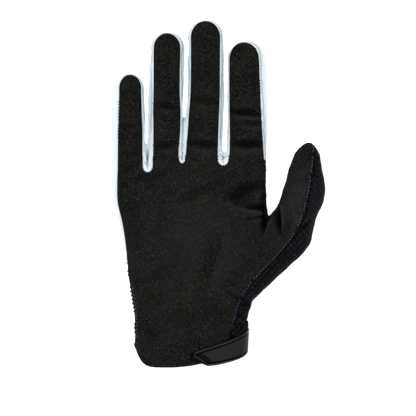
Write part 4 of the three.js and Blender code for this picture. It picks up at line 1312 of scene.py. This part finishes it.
def capsule(start, end, radius, points, faces):
    """Adds a small rounded bar between two points."""
    axis = (end - start).normalized()
    side = axis.orthogonal().normalized()
    up = axis.cross(side)
    base = len(points)
    for at, size in BAR_RINGS:
        inside = min(max(at, 0), 1)
        centre = start.lerp(end, inside) + axis * radius * (at - inside)
        for k in range(BAR_SIDES):
            turn = 2 * math.pi * k / BAR_SIDES
            points.append(centre + (side * math.cos(turn) + up * math.sin(turn)) * radius * size)
    last = len(BAR_RINGS) - 1
    for r in range(last):
        a = base + r * BAR_SIDES
        for k in range(BAR_SIDES):
            n = (k + 1) % BAR_SIDES
            faces.append([a + k, a + n, a + BAR_SIDES + n, a + BAR_SIDES + k])
    faces.append([base + k for k in reversed(range(BAR_SIDES))])
    faces.append([base + last * BAR_SIDES + k for k in range(BAR_SIDES)])


print("a bar has", len(BAR_RINGS) * BAR_SIDES, "points")

# %% Many bars in one object


def bars_object(name, points, faces, material):
    mesh = bpy.data.meshes.new(name)
    mesh.from_pydata([tuple(p) for p in points], [], faces)
    mesh.polygons.foreach_set("use_smooth", [True] * len(faces))
    mesh.materials.append(material)
    obj = bpy.data.objects.new(name, mesh)
    bpy.context.scene.collection.objects.link(obj)
    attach(obj, "root")
    return obj


# %% The hooks at the pad's end
HOOK_COUNT = 110
HOOK_SHARE = 0.84  # of the pad's length, from where the tab leaves it bare


def pad_hooks():
    points, faces = [], []
    for _ in range(HOOK_COUNT):
        share, across = rng.uniform(HOOK_SHARE, 1.0), rng.uniform(0.04, 0.96)
        angle = slanted(PAD_START, PAD_TIP, PAD_SLANT, PAD_BLUNT, share, across)
        along = strap_along(angle, across, "tab_low", "tab_high")
        root = on_wrist(angle, along, PAD_TOP - BRISTLE)
        head = on_wrist(angle, along, PAD_TOP) + rng.uniform(-0.35, 0.35, 3) * [1, 1, 0]
        capsule(Vector(to_frame(root)), Vector(to_frame(head)), 0.15 * MM, points, faces)
    return bars_object("hook_pad_hooks", points, faces, NYLON_HOOKS)


print("hooks", len(pad_hooks().data.polygons), "faces")

# %% Stitches


def surface_tree(objects):
    points, faces = [], []
    for obj in objects:
        base = len(points)
        points += [v.co for v in obj.data.vertices]
        faces += [[base + i for i in p.vertices] for p in obj.data.polygons]
    return BVHTree.FromPolygons(points, faces)


def walk(line, pitch):
    """Points at even distances along an open line, with its direction there."""
    run = np.concatenate([[0], np.cumsum(np.linalg.norm(np.diff(line, axis=0), axis=1))])
    places = np.arange(pitch / 2, run[-1], pitch)
    spots = np.stack([np.interp(places, run, values) for values in line.T], axis=1)
    ahead = np.stack([np.interp(places + 0.2, run, values) for values in line.T], axis=1) - spots
    return spots, ahead / np.maximum(np.linalg.norm(ahead, axis=1), 1e-9)[:, None]


def sew(name, line, aim, pitch, length, radius, material, turned=0.0, skip=0.0, shift=0.0):
    """Lays stitches along a line, shot at the cloth in the direction of aim.

    Turned is their angle to the line in degrees, skip the share of them that don't show, and shift
    how far to the left of the line they lie.
    """
    spots, ahead = walk(line, pitch)
    turn = math.radians(turned)
    side = np.cross(ahead, aim)
    spots = spots + shift * side
    heading = ahead * math.cos(turn) + side * math.sin(turn)
    seen = rng.random(len(spots)) >= skip
    points, faces = [], []
    for spot, way in zip(spots[seen], heading[seen]):
        ends = []
        for sign in (-0.5, 0.5):
            start = to_frame(spot + way * length * sign - np.array(aim) * 100)
            hit, normal, _, _ = cloth_tree.ray_cast(Vector(start), Vector(aim))
            if hit is not None:
                ends.append(hit + normal * radius * MM * 0.3)
        if len(ends) == 2 and (ends[0] - ends[1]).length < 1.6 * length * MM:
            capsule(ends[0], ends[1], radius * MM, points, faces)
    bars_object(name, points, faces, material)
    print(name, len(spots), "places")


def level(line, z):
    return np.column_stack([line, np.full(len(line), z)])


# %% The seams' thread
cloth_tree = surface_tree(cloth.values())
DOWN, FROM_LEFT = (0, 0, -1), (1, 0, 0)
STRAP_TOP_Y = 25.5  # the thumb's seam goes under the strap here
on_thumb = thumb_seam()
on_thumb = on_thumb[on_thumb[:, 1] > STRAP_TOP_Y]
sew("thumb_seam_stitches", level(on_thumb, 30), DOWN, 2.1, 1.2, 0.17, VIOLET_THREAD, turned=12, skip=0.15)
on_fingers = finger_seam()
on_fingers = on_fingers[on_fingers[:, 1] > 95]
on_fingers = level(on_fingers, 30)
sew("finger_seam_stitches", on_fingers, DOWN, 1.9, 0.7, 0.25, BLACK_THREAD, turned=75, shift=-0.05)
on_side = np.array([[-60.0, 12.0, SUEDE_HEIGHT + 1.6], [-60.0, 73.0, SUEDE_HEIGHT + 1.6]])
sew("side_seam_stitches", on_side, FROM_LEFT, 2.6, 0.9, 0.42, BLACK_THREAD, turned=35, skip=0.2)
by_side = np.array([[1.3 - column(PALM_ROWS, "left", y), y, 30.0] for y in np.linspace(9, 52, 20)])
sew("side_top_stitches", by_side, DOWN, 2.2, 1.1, 0.14, VIOLET_THREAD, turned=10, skip=0.15)
for k, (x, low, high) in enumerate([(-28.8, 128.0, 132.5), (-6.5, 133.5, 139.0), (19.8, 132.0, 138.0)]):
    tack = np.array([[x, low, 30.0], [x + 0.4, high, 30.0]])
    sew("crotch_tack_" + str(k), tack, DOWN, 1.1, 1.1, 0.16, GREY_THREAD, turned=40)

# %% [markdown]
# The glove lies on a lit table, as in a catalogue picture, so nothing under it is dark: a white sheet
# with its own glow. A soft light from the upper left and a wide fill show the folds. The long lens
# straight above keeps the raised palm from looking larger than the wrist.

# %% Camera
FRAME_WIDTH = 266.2  # mm across the picture, at the height of the glove's outline
FRAME_CENTRE = (10.2, 103.0)  # in the hand's frame
OUTLINE_HEIGHT = 10.0
CAMERA_HEIGHT = 4000.0

camera_data = bpy.data.cameras.new("camera")
camera_data.sensor_width = 36
camera_data.lens = 36 * (CAMERA_HEIGHT - OUTLINE_HEIGHT) / FRAME_WIDTH
camera_data.clip_end = 10
camera = bpy.data.objects.new("camera", camera_data)
camera.location = to_frame([*FRAME_CENTRE, CAMERA_HEIGHT])
bpy.context.scene.collection.objects.link(camera)
bpy.context.scene.camera = camera
print("lens", round(camera_data.lens), "mm")

# %% The lit table
TABLE_HALF = 3.0  # metres, from its middle to its edges
TABLE_TOP = -0.0004  # metres, just under the glove
TABLE_GLOW = 0.7


def lit_table():
    mesh = bpy.data.meshes.new("table")
    corners = [(x * TABLE_HALF, y * TABLE_HALF, TABLE_TOP) for x, y in ((-1, -1), (1, -1), (1, 1), (-1, 1))]
    mesh.from_pydata(corners, [], [(0, 1, 2, 3)])
    material = new_material(
        "lit_sheet", "#fafafa", 0.9, Specular_IOR_Level=0.1,
        Emission_Color=(1, 1, 1, 1), Emission_Strength=TABLE_GLOW,
    )
    mesh.materials.append(material)
    obj = bpy.data.objects.new("table", mesh)
    bpy.context.scene.collection.objects.link(obj)


lit_table()
print("table", 2 * TABLE_HALF, "m across")

# %% Light


def softbox(name, place, target, size, watts, colour=(1, 1, 1)):
    light = bpy.data.lights.new(name, "AREA")
    light.shape = "DISK"
    light.size = size
    light.energy = watts
    light.color = colour
    obj = bpy.data.objects.new(name, light)
    obj.location = place
    obj.rotation_euler = (Vector(target) - Vector(place)).to_track_quat("-Z", "Y").to_euler()
    bpy.context.scene.collection.objects.link(obj)


softbox("key", (-0.7, 0.55, 1.5), (0, 0, 0), 0.9, 17)
softbox("fill", (0.9, -0.4, 1.4), (0, 0, 0), 1.2, 10.5, (0.97, 0.99, 1.0))
world = bpy.data.worlds.new("studio")
world.use_nodes = True
sky = world.node_tree.nodes["Background"].inputs
sky["Color"].default_value = (0.97, 0.99, 1.0, 1)
sky["Strength"].default_value = 0.42
bpy.context.scene.world = world
bpy.context.scene.view_settings.view_transform = "Standard"
print("lights:", ", ".join(light.name for light in bpy.data.lights))
